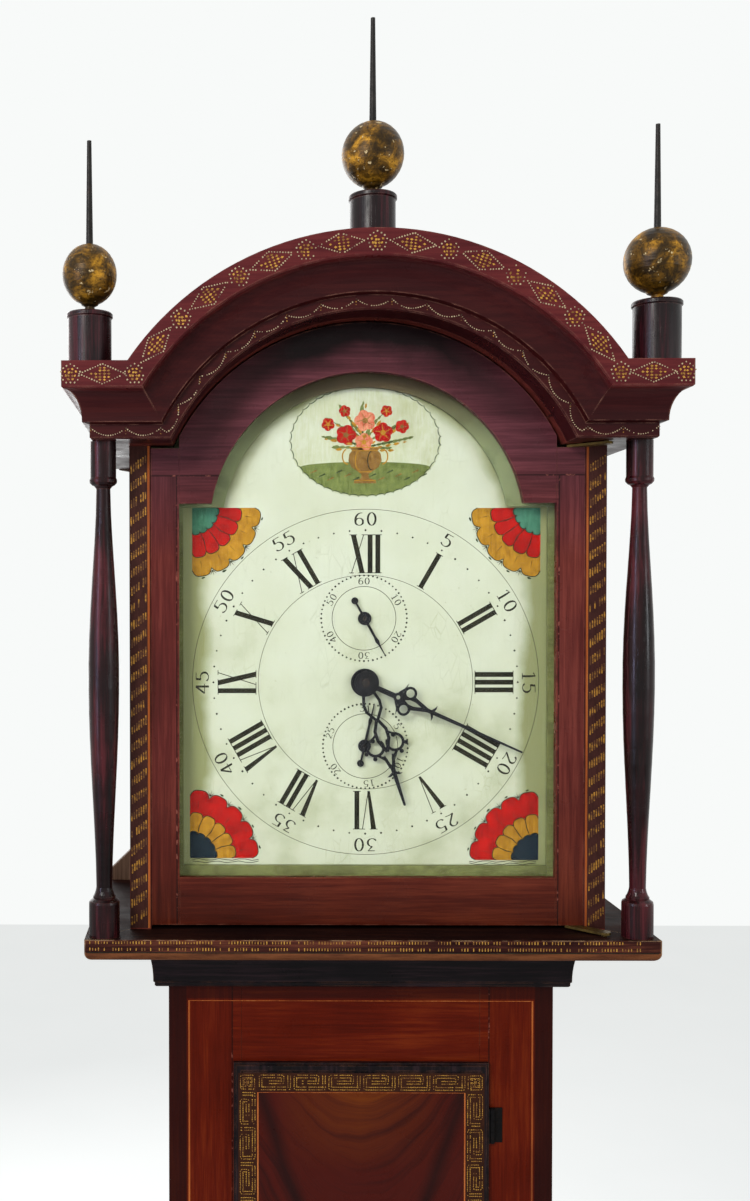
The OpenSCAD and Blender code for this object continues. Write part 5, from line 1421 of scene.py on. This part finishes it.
@dataclass
class CorniceOrnament:
    """Stencilled rosettes and diamonds on the fascia, and garlands of dots on the band below.

    All sizes are in mm, and a level is a height over the moulding's foot.
    """

    paints: Paints
    arch_r: float = 177.2
    band_z: float = 1932.4
    fascia_level: float = 48.0
    fascia_y: float = -131.1
    band_level: float = 5.6
    band_y: float = -110.9
    side_x: float = 196.5
    fascia_out: float = 49.2
    band_out: float = 29.0
    rear_y: float = 128.0
    sag: float = 5.8
    end_diamond_x: float = 213.6
    end_rose_x: float = 238.4
    side_step: float = 25.4

    ROWS = ((0.0, 8.6), (2.5, 5.0), (-2.5, 5.0), (4.6, 1.7), (-4.6, 1.7))

    def spring(self, level: float) -> tuple[float, float, float]:
        """Give height and radius of the moulding's line at a level, and the angle where its arch springs."""
        z, r = self.band_z + level, self.arch_r + level
        return z, r, math.degrees(math.asin((z - ARCH_Z) / r))

    def path(self, level: float, y: float, reach: float) -> list[Vector]:
        """Give the front's line, from left to right.

        Args:
            level: its level.
            y: its depth.
            reach: how far it runs past the arch's ends.

        Returns:
            Its points, in metres.
        """
        z, r, start = self.spring(level)
        points = [(-self.side_x - reach, z)]
        points += bow((0.0, ARCH_Z), r, r, 180 - start, start, 120)
        points.append((self.side_x + reach, z))
        return Plane.FRONT.line(points, y)

    def spots(self, level: float, y: float, count: int, half: bool) -> list[Vector]:
        """Divide the arch into equal steps.

        Args:
            level: the line's level.
            y: its depth.
            count: how many steps.
            half: whether the steps' middles are wanted, and not their ends.

        Returns:
            The middles or ends, in metres.
        """
        _, r, start = self.spring(level)
        step = (180 - 2 * start) / count
        return Plane.FRONT.line([polar((0.0, ARCH_Z), r, 180 - start - step * (i + 0.5 * half))
                                 for i in range(count + (0 if half else 1))], y)

    def fascia(self, plane: Plane, name: str, roses: list[Vector], lozenges: list[Vector],
               turns: list[Vector]) -> None:
        """Lay rosettes and diamonds on one wall of the fascia.

        Args:
            plane: the wall.
            name: what the wall is called.
            roses: rosette middles.
            lozenges: diamond middles.
            turns: the direction along the fascia at each diamond.
        """
        out = plane.outward()
        edges, hearts, curls, rays = [], [], [], []
        for middle, along in zip(lozenges, turns):
            up = out.cross(along)
            left, low, right, high = [middle + way * MM for way in (along * -18.0, up * -7.8, along * 18.0,
                                                                    up * 7.8)]
            # The last side ends short, so that no dot lies twice on the first corner.
            edges.append([left, low, right, high, high.lerp(left, 0.85)])
            hearts += [[middle + (along * u + up * row) * MM for u in (-half, half)]
                       for row, half in self.ROWS]
        for middle in roses:
            for reach, count, store in ((7.2, 14, curls), (4.2, 8, rays), (1.8, 4, rays)):
                angles = [2 * math.pi * (i + 0.5) / count for i in range(count)]
                rays_out = [(Vector(plane.value[0]) * math.cos(a) + Vector((0, 0, 1)) * math.sin(a))
                            * (reach + 0.5 * math.sin(5 * a)) for a in angles]
                store.append([middle + ray * MM for ray in rays_out])
        cream, gold, dot = self.paints.cream, self.paints.bright_gold, (ring(0.72),)
        for repeater, paths in (
                (Repeater(name + "_diamond_dots", cream, dot, 2.15, 0.9, 0.7, 1.05, seed=13), edges),
                (Repeater(name + "_diamond_hearts", gold, (lozenge(2.7, 1.9),), 3.3, 0.94, 0.8, 1.1,
                          seed=14), hearts),
                (Repeater(name + "_rosette_curls", cream, dot, 0.0, 0.95, 0.8, 1.1, seed=15), curls),
                (Repeater(name + "_rosette_petals", gold, (lozenge(2.6, 2.0),), 0.0, 0.97, 0.8, 1.1,
                          seed=16), rays)):
            repeater.lay(paths, plane, "hood", "gilt_wood")

    def garlands(self, plane: Plane, name: str, line: list[Vector], count: int) -> None:
        """Hang garlands of dots along a line, with a tassel between each two.

        Args:
            plane: the wall.
            name: what the wall is called.
            line: the line's points.
            count: how many garlands.
        """
        out = plane.outward()
        runs = [0.0]
        for p, q in zip(line, line[1:]):
            runs.append(runs[-1] + (q - p).length)
        paths, tassels = [], []
        for i in range(count):
            path = []
            for k in range(13):
                want = runs[-1] * (i + k / 12) / count
                j = max(1, next((n for n, run in enumerate(runs) if run >= want - 1e-9), len(runs) - 1))
                along = (line[j] - line[j - 1]).normalized()
                spot = line[j - 1] + along * (want - runs[j - 1])
                hang = self.sag * (1 - (2 * k / 12 - 1) ** 2)
                path.append(spot - out.cross(along) * (hang - self.sag / 2) * MM)
            paths.append(path)
            down = (path[0] - path[6]).normalized()
            tassels.append([path[0] + down * 0.2 * MM, path[0] - Vector((0, 0, 1)) * 4.4 * MM])
        Repeater(name + "_garlands", self.paints.cream, (ring(0.58),), 1.9, 0.9, 0.7, 1.1,
                 seed=17).lay(paths, plane, "hood", "gilt_wood")
        Repeater(name + "_tassels", self.paints.gold, (ring(0.62),), 1.7, 0.9, 0.7, 1.1,
                 seed=18).lay(tassels, plane, "hood", "gilt_wood")

    def build(self) -> None:
        """Stencil the front and both ends."""
        z, y = self.band_z + self.fascia_level, self.fascia_y - 0.3
        roses = self.spots(self.fascia_level, y, 8, False)
        diamonds = self.spots(self.fascia_level, y, 8, True)
        turns = []
        for spot in diamonds:
            away = Vector((spot.x, 0.0, spot.z - ARCH_Z * MM)).normalized()
            turns.append(Vector((away.z, 0.0, -away.x)))
        for side in (-1, 1):
            roses.append(Plane.FRONT.place(side * self.end_rose_x, z, y))
            diamonds.append(Plane.FRONT.place(side * self.end_diamond_x, z, y))
            turns.append(Vector((1.0, 0.0, 0.0)))
        self.fascia(Plane.FRONT, "cornice_front", roses, diamonds, turns)
        line = self.path(self.band_level, self.band_y - 0.25, self.band_out - 1.0)
        self.garlands(Plane.FRONT, "cornice_front", line, 19)
        for plane, side, name in ((Plane.RIGHT, 1, "cornice_right"), (Plane.LEFT, -1, "cornice_left")):
            x = side * (self.side_x + self.fascia_out + 0.3)
            spots = [Vector((x, self.fascia_y + 8.0 + self.side_step * i, z)) * MM for i in range(10)]
            self.fascia(plane, name, spots[0::2], spots[1::2], [Vector(plane.value[0])] * 5)
            x = side * (self.side_x + self.band_out + 0.25)
            ends = [Vector((x, v, self.band_z + self.band_level)) * MM
                    for v in (self.band_y, self.rear_y)][::side]
            self.garlands(plane, name, [ends[0].lerp(ends[1], i / 60) for i in range(61)], 9)


@dataclass(frozen=True)
class Spot:
    """A place on a dial, turned so that its own up points away from the dial's middle."""

    middle: Point
    radius: float
    clock: float

    def at(self, u: float, v: float) -> Point:
        """Give the wall point of a spot near this place.

        Args:
            u: distance across, in mm.
            v: distance outwards, in mm.

        Returns:
            The point on the wall.
        """
        turn = math.radians(self.clock)
        out = self.radius + v
        return (self.middle[0] + out * math.sin(turn) + u * math.cos(turn),
                self.middle[1] + out * math.cos(turn) - u * math.sin(turn))


class Figures:
    """Pen strokes of the figures 0 to 6 in a box 0.6 wide and 1 high."""

    SHAPES: dict[str, list[list[Point]]] = {
        "0": [bow((0.3, 0.5), 0.22, 0.46, 90, 450, 16)],
        "1": [[(0.12, 0.8), (0.3, 0.96), (0.32, 0.5), (0.32, 0.03)], [(0.14, 0.02), (0.5, 0.02)]],
        "2": [bow((0.29, 0.72), 0.21, 0.24, 165, -30, 8) + [(0.1, 0.07)],
              [(0.08, 0.06), (0.3, 0.1), (0.56, 0.05)]],
        "3": [[(0.1, 0.94), (0.48, 0.94), (0.26, 0.62)], bow((0.26, 0.34), 0.25, 0.29, 95, -150)],
        "4": [[(0.42, 0.97), (0.04, 0.34)], [(0.02, 0.33), (0.58, 0.33)], [(0.42, 0.97), (0.42, 0.02)]],
        "5": [[(0.52, 0.95), (0.15, 0.95)], [(0.15, 0.95), (0.12, 0.6)],
              bow((0.26, 0.34), 0.26, 0.3, 120, -150)],
        "6": [bow((0.42, 0.42), 0.34, 0.52, 80, 190), bow((0.3, 0.3), 0.22, 0.26, 0, 360, 14)]}
    THICK = 0.15
    THIN = 0.05
    STEP = 0.9
    WIDEN = 1.28

    def draw(self, art: Painting, text: str, spot: Spot, high: float, ink: Material) -> None:
        """Write a number with its foot at a place on a dial; steep strokes are thick.

        Args:
            art: the painting that it goes on.
            text: the figures.
            spot: where the foot's middle is.
            high: height in mm.
            ink: the paint.
        """
        step = self.STEP * high
        for i, figure in enumerate(text):
            left = -step * len(text) / 2 + i * step + 0.06 * high
            for path in self.SHAPES[figure]:
                widths = []
                for k in range(len(path)):
                    p, q = path[max(0, k - 1)], path[min(len(path) - 1, k + 1)]
                    steep = abs(q[1] - p[1]) / (math.hypot(q[0] - p[0], q[1] - p[1]) or 1.0)
                    widths.append(high * (self.THIN + (self.THICK - self.THIN) * steep ** 2))
                art.stroke([spot.at(left + u * self.WIDEN * high, v * high) for u, v in path], widths, ink)


class Numerals:
    """Roman hour numerals: thick bars, hair strokes and hair serifs."""

    TEXTS = ("XII", "I", "II", "III", "IIII", "V", "VI", "VII", "VIII", "IX", "X", "XI")
    STEPS = {"I": 6.5, "V": 14.0, "X": 14.2}

    def __init__(self, high: float, ink: Material) -> None:
        """Hold the height in mm and the paint."""
        self.high, self.ink = high, ink

    def shapes(self, letter: str) -> list[list[Point]]:
        """Give a letter's outlines about its own middle.

        Args:
            letter: I, V or X.

        Returns:
            The outlines, in mm.
        """
        h = self.high
        if letter == "I":
            return [[(-2.05, 0.4), (2.05, 0.4), (2.05, h - 0.4), (-2.05, h - 0.4)],
                    [(-3.3, 0), (3.3, 0), (3.3, 0.65), (-3.3, 0.65)],
                    [(-3.3, h - 0.65), (3.3, h - 0.65), (3.3, h), (-3.3, h)]]
        if letter == "V":
            return [[(-0.6, 0), (1.5, 0), (-1.7, h), (-6.1, h)], [(0.4, 0), (1.1, 0), (5.9, h), (5.2, h)],
                    [(-7.2, h - 0.6), (-0.6, h - 0.6), (-0.6, h), (-7.2, h)],
                    [(3.2, h - 0.6), (7.0, h - 0.6), (7.0, h), (3.2, h)]]
        return [[(1.6, 0), (5.9, 0), (-1.6, h), (-5.9, h)], [(-5.6, 0), (-4.9, 0), (5.4, h), (4.7, h)],
                [(-7.0, 0), (-3.2, 0), (-3.2, 0.6), (-7.0, 0.6)],
                [(0.6, 0), (7.0, 0), (7.0, 0.6), (0.6, 0.6)],
                [(-7.0, h - 0.6), (-0.6, h - 0.6), (-0.6, h), (-7.0, h)],
                [(3.2, h - 0.6), (7.0, h - 0.6), (7.0, h), (3.2, h)]]

    def draw(self, art: Painting, middle: Point, radius: float) -> None:
        """Write the twelve hours round a dial, their feet to its middle.

        Args:
            art: the painting that they go on.
            middle: the dial's middle.
            radius: distance of their feet from it, in mm.
        """
        for hour, text in enumerate(self.TEXTS):
            spot = Spot(middle, radius, hour * 30.0)
            left = -sum(self.STEPS[c] for c in text) / 2
            for letter in text:
                here = left + self.STEPS[letter] / 2
                left += self.STEPS[letter]
                for outline in self.shapes(letter):
                    art.fill([spot.at(here + u, v) for u, v in outline], self.ink)


@dataclass
class Fan:
    """A quarter fan in a corner of the dial: a solid core, a ring of petals and a scalloped rim."""

    corner: Point
    start: float
    core: Material
    petal: Material
    rim: Material
    ink: Material
    radii: Triple = (23.0, 42.0, 58.0)
    petals: int = 5

    def at(self, radius: float, angle: float) -> Point:
        """Give the point at that radius and angle about the fan's corner."""
        return polar(self.corner, radius, angle)

    def lobe(self, low: float, high: float, start: float, wide: float) -> list[Point]:
        """Give a petal's outline with its outer end rounded.

        Args:
            low: its inner radius.
            high: its outer radius.
            start: the angle where it begins, in degrees.
            wide: the angle that it spans.

        Returns:
            The outline, whose outer end follows its first two points.
        """
        points = [self.at(low, start), self.at(low, start + wide)]
        for i in range(11):
            part = 1 - i / 10
            points.append(self.at(high - 0.09 * high * (2 * part - 1) ** 4, start + wide * part))
        return points

    def build(self, art: Painting) -> list[Point]:
        """Paint the fan.

        Args:
            art: the painting that it goes on.

        Returns:
            The path of the leaf sprigs round its rim.
        """
        core, mid, rim = self.radii
        wide = 90.0 / self.petals
        for i in range(self.petals):
            start = self.start + wide * i
            end = start + wide
            for coat, low, high, paint in ((1, mid - 8, rim, self.rim), (3, core - 4, mid, self.petal),
                                           (5, 0.5, core, self.core)):
                edge = self.lobe(low, high, start, wide)
                art.fill(edge, paint, coat)
                art.stroke(edge[2:], 0.75, self.ink, coat + 1)
            if i < self.petals - 1:
                lean = 3.0 * math.sin(2.1 * i + 0.7)
                art.stroke([self.at(core - 3, end), self.at(mid * 0.72, end + lean), self.at(mid - 3, end)],
                           [0.4, 0.9, 0.5], self.ink, 7)
            vein = start + wide * (0.5 + 0.1 * (i % 2))
            art.stroke([self.at(mid + 3, vein), self.at(rim - 7, vein)], [0.5, 0.2], self.ink, 2)
            if i:
                tip = Spot(self.corner, rim - 3.0, 90 - start)
                for lean in (-2.6, 0.0, 2.6):
                    art.stroke([tip.at(0, 0), tip.at(lean, 4.6 - abs(lean) * 0.4)], [0.9, 0.2], self.ink, 3)
        return [self.at(rim + 1.6, self.start + 9 + 18 * i) for i in range(5)]


@dataclass
class Dial:
    """The painted dial: hours, minutes, seconds and date rings, corner fans and the urn in the arch.

    All places and sizes are in mm.
    """

    paints: Paints
    face_y: float = -49.9
    middle: Point = (0.9, DIAL_Z)
    seconds: Point = (-0.3, DIAL_Z + 53.9)
    date: Point = (0.9, DIAL_Z - 53.9)
    outer_r: float = 145.6
    inner_r: float = 90.2
    numeral_r: float = 91.8
    numeral_high: float = 32.6
    dot_r: float = 128.0
    figure_r: float = 131.6
    figure_high: float = 11.6
    oval: Point = (0.4, DIAL_Z + 202.8)
    oval_half: Point = (63.7, 47.1)

    URN = ((0.0, 0.0), (9.5, 0.0), (9.0, 2.4), (3.6, 4.2), (2.8, 7.4), (5.4, 9.6), (11.4, 13.6),
           (14.0, 19.0), (13.2, 24.6), (10.8, 27.6), (13.6, 30.4), (0.0, 30.4))
    URN_RINGS = ((2.4, 9.0), (9.6, 5.4), (27.6, 10.8), (30.0, 13.4))
    STEMS = ((-38, 4), (-30, 19), (-17, 29), (0, 33), (18, 28), (31, 17), (38, 3), (-24, -5), (24, -6),
             (-9, 14), (11, 12))
    FLOWERS = ((-16, 5, 8.6), (15, 7, 8.4), (0, 17, 9.0), (-31, 14, 5.6), (31, 12, 5.8), (-1, -1, 7.6),
               (-17, 25, 5.0), (18, 25, 5.0))
    SPRIG_LEAF = (((-2.0, 0.0), (-0.8, -0.9), (1.0, -0.7), (2.4, 0.0), (1.0, 0.7), (-0.8, 0.9)),)
    STEM_LEAF = (((-3.0, 0.0), (-0.6, -1.5), (2.2, -0.8), (3.8, 0.4), (1.6, 1.3), (-1.0, 1.3)),)

    def stamp(self, repeater: Repeater, paths: list[list[Point]], proud: float) -> None:
        """Lay a motif along paths on the dial.

        Args:
            repeater: what is laid.
            paths: each one's points on the dial.
            proud: how far it stands off the board, in mm.
        """
        repeater.lay([Plane.FRONT.line(path, self.face_y - proud) for path in paths], Plane.FRONT,
                     "case", "cream_paint")

    def rings(self) -> None:
        """Draw the circles, the hour numerals and the figures."""
        art = Painting("dial_numerals", Plane.FRONT, self.face_y)
        ink, figures = self.paints.black, Figures()
        art.circle(self.middle, self.outer_r, 0.4, ink)
        art.circle(self.middle, self.inner_r, 0.4, ink)
        Numerals(self.numeral_high, ink).draw(art, self.middle, self.numeral_r)
        for i in range(1, 13):
            figures.draw(art, str(5 * i), Spot(self.middle, self.figure_r, 30.0 * i), self.figure_high, ink)
        for middle, circle in ((self.seconds, 26.8), (self.date, 27.3)):
            art.circle(middle, circle, 0.5, ink)
        for i in range(1, 7):
            figures.draw(art, str(10 * i), Spot(self.seconds, 28.4, 60.0 * i), 5.9, ink)
        for day in (31, 5, 10, 15, 20, 25):
            figures.draw(art, str(day), Spot(self.date, 28.8, 360.0 * day / 31), 5.7, ink)
        art.finish("case", "cream_paint")
        dots = [[polar(middle, radius, 90 - 360 * i / count) for i in range(count)]
                for middle, radius, count in ((self.middle, self.dot_r, 60), (self.seconds, 36.0, 60),
                                              (self.date, 35.7, 62))]
        self.stamp(Repeater("dial_dots", ink, (ring(0.85, 8),), 0.0, 1.0, 0.85, 1.1, seed=21), dots, 0.06)

    def fans(self) -> None:
        """Paint the four corner fans and the leaf sprigs round them."""
        p, z = self.paints, DIAL_Z
        verdigris = BrushPaint("verdigris_green_paint", "#2f5f48", "#4d8268", "#14261c", 9.0,
                               grimy=0.5).build()
        upper = (verdigris, p.red, p.ochre, p.black, (23.0, 42.0, 58.0))
        lower = (p.navy, p.ochre, p.red, p.black, (23.0, 39.0, 58.0))
        art = Painting("dial_fans", Plane.FRONT, self.face_y)
        sprigs = []
        for corner, start, looks in (((-144.9, z + 147.0), 270, upper), ((147.4, z + 146.4), 180, upper),
                                     ((-147.0, z - 148.8), 0, lower), ((146.6, z - 150.2), 90, lower)):
            sprigs.append(Fan(corner, start, *looks).build(art))
            away = 1 if start == 0 else -1
            for k in range(2 if looks is lower else 0):
                base = [(corner[0] + away * (2.0 + 5.6 * i), corner[1] - 1.2 - 2.0 * k
                         + 0.8 * math.sin(i * 1.9 + k)) for i in range(11)]
                art.stroke(base, 0.55, p.black)
        art.finish("case", "cream_paint")
        self.stamp(Repeater("fan_leaf_sprigs", p.green, self.SPRIG_LEAF, 0.0, 0.95, 0.7, 1.15, seed=23),
                   sprigs, 0.06)

    def flower(self, art: Painting, at: Point, size: float, paint: Material, heart: Material,
               turn: float) -> None:
        """Paint a five-lobed flower with a darker heart and light strokes.

        Args:
            art: the painting that it goes on.
            at: its middle.
            size: its radius in mm.
            paint: the petals' paint.
            heart: the middle's paint.
            turn: degrees that it is turned by.
        """
        for i in range(5):
            angle = turn + 72 * i
            art.disc(polar(at, size * 0.52, angle), size * 0.5, paint, 3 + i % 2, 14)
            art.stroke([polar(at, size * 0.3, angle), polar(at, size * 0.86, angle + 9)], [0.9, 0.2],
                       heart, 6)
        art.disc(at, size * 0.27, heart, 7, 12)

    def bank(self, art: Painting) -> None:
        """Paint the oval's pale ground and the green bank with its grass.

        Args:
            art: the painting that they go on.
        """
        p, (cx, cz), (wide, high) = self.paints, self.oval, self.oval_half
        ground = BrushPaint("aged_oval_ground", "#c4c6ae", "#b6b894", "#8f8a58", 22.0, grimy=0.35).build()
        art.fill(bow((cx, cz), wide, high, 0, 354, 59), ground)
        edge = bow((cx, cz), wide - 1.2, high - 1.2, 206, 334, 24)
        art.fill(edge + bow((cx, cz - 22.0), wide * 0.86, 4.5, 8, 172, 14), p.leaf, 2)
        for i in range(14):
            u, v = cx - 46 + 7.1 * i, cz - 3 * (i % 3)
            art.stroke([(u, v - 27.0), (u + 5.5, v - 24.5)], [0.4, 1.3], p.green if i % 2 else p.brown, 3)

    def vase(self, art: Painting, x: float, z: float) -> None:
        """Paint the urn with its rings, handles and a light on either side.

        Args:
            art: the painting that it goes on.
            x: the middle of its foot.
            z: the height of its foot.
        """
        p = self.paints
        art.fill([(x + u, z + v) for u, v in self.URN] + [(x - u, z + v) for u, v in self.URN[-2:0:-1]],
                 p.brown, 3)
        for v, u in self.URN_RINGS:
            art.stroke([(x - u, z + v), (x + u, z + v)], 0.7, p.ochre, 4)
        for side, start, end, shade in ((-1, 110, 270, p.ochre), (1, 70, -90, p.black)):
            art.stroke(bow((x + side * 14.2, z + 22.5), 4.8, 6.4, start, end), 1.1, p.ochre, 4)
            art.stroke(bow((x + side * 5.2, z + 19), 3.0, 7.6, 70, 290, 8), [0.3] + [0.8] * 7 + [0.3],
                       shade, 4)

    def urn(self) -> None:
        """Paint the oval picture: a two-handled urn of flowers on a green bank."""
        p, (cx, cz), (wide, high) = self.paints, self.oval, self.oval_half
        art = Painting("dial_arch_picture", Plane.FRONT, self.face_y)
        self.bank(art)
        self.vase(art, cx, cz - 35.5)
        stems = []
        for i, (u, v) in enumerate(self.STEMS):
            stems.append([(cx + u * t + 3.5 * math.sin(t * 3 + i), cz - 6 + (v + 6) * t ** 0.8)
                          for t in (0.08, 0.3, 0.52, 0.74, 0.94)])
            art.stroke(stems[-1], [0.9, 0.8, 0.7, 0.6, 0.4], p.green, 2)
        for i, (u, v, size) in enumerate(self.FLOWERS):
            self.flower(art, (cx + u, cz + v), size, (p.red, p.red, p.rose)[i % 3],
                        p.ochre if i % 2 else p.brown, 17.0 * i)
        art.finish("case", "cream_paint")
        self.stamp(Repeater("picture_leaves", p.leaf, self.STEM_LEAF, 4.4, 0.95, 0.6, 1.25, seed=25),
                   stems, 0.13)
        self.stamp(Repeater("picture_dark_leaves", p.ochre, self.STEM_LEAF, 6.2, 0.8, 0.5, 1.0, seed=26),
                   [[(u + 2.2, v - 2.0) for u, v in path] for path in stems], 0.16)
        crescent = bow((0.0, 0.0), 4.0, 2.2, 0, 180, 9) + bow((0.0, 0.0), 3.6, 1.4, 180, 0, 9)
        self.stamp(Repeater("oval_scalloped_border", p.green, (tuple(crescent),), 7.4, 1.0, 0.97, 1.03,
                            seed=27), [bow((cx, cz), wide, high, 0, 360, 120)], 0.12)

    def build(self) -> None:
        """Paint the whole dial."""
        self.rings()
        self.fans()
        self.urn()


@dataclass
class WeightLines:
    """The two taut hemp lines: three strands laid together, which wind up from below as a weight rises on
    the clock; each is built here as a straight rope on the case.

    Sizes are in mm.
    """

    radius: float = 1.2
    furrow: float = 0.32
    strands: int = 3
    lay: float = 8.0
    sides: int = 18
    step: float = 1.4
    travel: float = 740.0

    def rope(self, name: str, low: Vector, high: Vector) -> bpy.types.Object:
        """Lay a straight rope between the lowest and the highest corner of a line's box.

        Args:
            name: the piece's name.
            low: the box's lowest corner, in metres.
            high: the box's highest corner, in metres.

        Returns:
            The rope.
        """
        middle, length = (low + high) / 2, (high.z - low.z) / MM
        count = round(length / self.step)
        mesh, rows = bmesh.new(), []
        for k in range(count + 1):
            turn, row = 2 * math.pi * k * length / count / self.lay, []
            for i in range(self.sides):
                angle = 2 * math.pi * i / self.sides
                lobe = abs(math.sin(self.strands * (angle - turn) / 2))
                reach = (self.radius - self.furrow * (1 - lobe)) * MM
                row.append(mesh.verts.new((middle.x + reach * math.cos(angle),
                                           middle.y + reach * math.sin(angle),
                                           low.z + (high.z - low.z) * k / count)))
            rows.append(row)
        for lower, upper in zip(rows, rows[1:]):
            for i in range(self.sides):
                j = (i + 1) % self.sides
                mesh.faces.new((lower[i], lower[j], upper[j], upper[i]))
        mesh.faces.new(rows[0][::-1])
        mesh.faces.new(rows[-1])
        return place_mesh(name, mesh)

    def build(self) -> None:
        """Lay both lines where the construction has them."""
        cord = LaidCord().build()
        for node, joint in (("time_line", "time_weight_rise"), ("strike_line", "strike_weight_rise")):
            low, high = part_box(node)
            rope = settle(self.rope(node + "_rope", low, high), "case")
            rope.data.materials.append(cord)
            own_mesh(rope)
            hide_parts(node)


@dataclass
class Fastenings:
    """Cut nails in the backboard: distance from the middle, and lowest and highest nail of each row."""

    paints: Paints
    rear_y: float = 131.1
    pitch: float = 120.0
    rows: tuple[Triple, ...] = ((158.0, 620.0, 1470.0), (205.0, 120.0, 530.0), (188.0, 1545.0, 1930.0))

    def build(self) -> None:
        """Drive the nails."""
        paths = []
        for x, low, high in self.rows:
            count = max(3, int((high - low) / self.pitch))
            for side in (-1, 1):
                paths.append(Plane.BACK.line([(-side * (x + 2.0 * math.sin(i * 2.3)),
                                               low + (high - low) * i / count) for i in range(count + 1)],
                                             self.rear_y))
        Repeater("backboard_nails", self.paints.iron, (bar(3.4, 4.6),), 0.0, 1.0, 0.85, 1.1, level=True,
                 relief_mm=0.4, seed=31).lay(paths, Plane.BACK, "case", "dark_iron")


class Studio:
    """Pale floor, a white room behind the object, and soft lamps."""

    FLOOR_Z = -0.5
    FLOOR_HALF = 6.0

    def room(self) -> None:
        """Set the world: white to the camera and in reflections, softer as a light."""
        world = bpy.data.worlds.new("studio")
        world.use_nodes = True
        n = Nodes(world.node_tree)
        path = n.add("LightPath").node.outputs
        seen = n.add("Math", path["Is Camera Ray"], path["Is Glossy Ray"], operation="MAXIMUM")
        seen = n.add("Math", seen, path["Is Transmission Ray"], operation="MAXIMUM")
        soft = n.add("Background", "#f4f6f8", 0.4)
        white = n.add("Background", "#f8faf9", 1.0)
        n.add("OutputWorld", n.add("MixShader", seen, soft, white))
        bpy.context.scene.world = world

    def floor(self) -> None:
        """Lay a large pale floor just under the feet."""
        mesh = bmesh.new()
        bmesh.ops.create_grid(mesh, x_segments=8, y_segments=8, size=self.FLOOR_HALF)
        for corner in mesh.verts:
            corner.co.z = self.FLOOR_Z * MM
        g = Graph("pale_painted_floor")
        cloud = g.add("MapRange", g.add("TexNoise", g.place, per_mm(400.0), 3.0, 0.55), 0.3, 0.7)
        paint = g.add("BsdfDiffuse", g.add("Mix", cloud, "#f3f4f2", "#eff1ef"))
        seen = g.add("Math", g.add("LightPath", out="Is Camera Ray"), 0.5, operation="MULTIPLY")
        glow = g.add("Emission", "#f4f6f4", seen)
        g.add("OutputMaterial", g.add("AddShader", paint, glow))
        place_mesh("studio_floor", mesh, (g.material,))

    def lamp(self, name: str, place: Triple, aim: Triple, size: float, watts: float, colour: str,
             tall: float = 0.0) -> None:
        """Hang a soft lamp, square or upright.

        Args:
            name: its name.
            place: where it hangs, in metres.
            aim: what it points at.
            size: its side in metres.
            watts: its power.
            colour: its colour.
            tall: its height in metres where it isn't square.
        """
        light = bpy.data.lights.new(name, "AREA")
        light.shape = "RECTANGLE"
        light.size, light.size_y = size, tall or size
        light.energy, light.color = watts, linear(colour)[:3]
        obj = bpy.data.objects.new(name, light)
        bpy.context.scene.collection.objects.link(obj)
        obj.location = place
        obj.rotation_euler = (Vector(aim) - Vector(place)).to_track_quat("-Z", "Y").to_euler()

    def build(self) -> None:
        """Light the scene."""
        self.room()
        self.floor()
        self.lamp("key", (-1.5, -2.3, 3.0), (0.0, 0.0, 1.6), 0.7, 34.0, "#fffdf8")
        self.lamp("window", (-2.2, -1.9, 1.9), (0.0, 0.0, 1.75), 0.2, 20.0, "#ccd0ff", 1.3)
        self.lamp("fill", (2.3, -1.7, 1.9), (0.0, 0.0, 1.5), 0.6, 10.0, "#f6faff")
        self.lamp("rear", (-1.2, 2.6, 2.4), (0.0, 0.0, 1.3), 2.0, 30.0, "#ffffff")


class Camera:
    """The photograph's viewpoint: close to the hood, a little to its left, level with the dial."""

    RIGHT = (0.9999187, 0.0126739, -0.0014100)
    DOWN = (-0.0011633, -0.0194583, -0.9998100)
    AHEAD = (-0.0126989, 0.9997303, -0.0194420)
    PLACE = (-0.1309023, -1.1311217, 1.8027313)
    LENS_MM, SENSOR_MM = 38.43, 36.0
    SHIFT = (0.1519, 0.0221)

    def build(self) -> None:
        """Set up the camera."""
        data = bpy.data.cameras.new("photo_camera")
        data.lens, data.sensor_width = self.LENS_MM, self.SENSOR_MM
        data.shift_x, data.shift_y = self.SHIFT
        data.clip_start, data.clip_end = 0.05, 60.0
        obj = bpy.data.objects.new("photo_camera", data)
        bpy.context.scene.collection.objects.link(obj)
        columns = Matrix((self.RIGHT, [-c for c in self.DOWN], [-c for c in self.AHEAD])).transposed()
        obj.matrix_world = Matrix.Translation(self.PLACE) @ columns.to_4x4()
        bpy.context.scene.camera = obj


def main() -> None:
    """Dress the clock and set up the studio."""
    logging.basicConfig(level=logging.INFO, format="%(name)s: %(message)s")
    bpy.context.scene.view_settings.view_transform = "Standard"
    paints = Paints()
    for part in (Camera(), Studio(), Woodwork(paints), WaistFront(paints), WaistDoor(paints),
                 HoodStrips(paints), LedgeBand(paints), CorniceOrnament(paints), Dial(paints),
                 WeightLines(), Fastenings(paints)):
        part.build()
        LOG.info("finished %s", type(part).__name__)


if __name__ == "__main__":
    main()
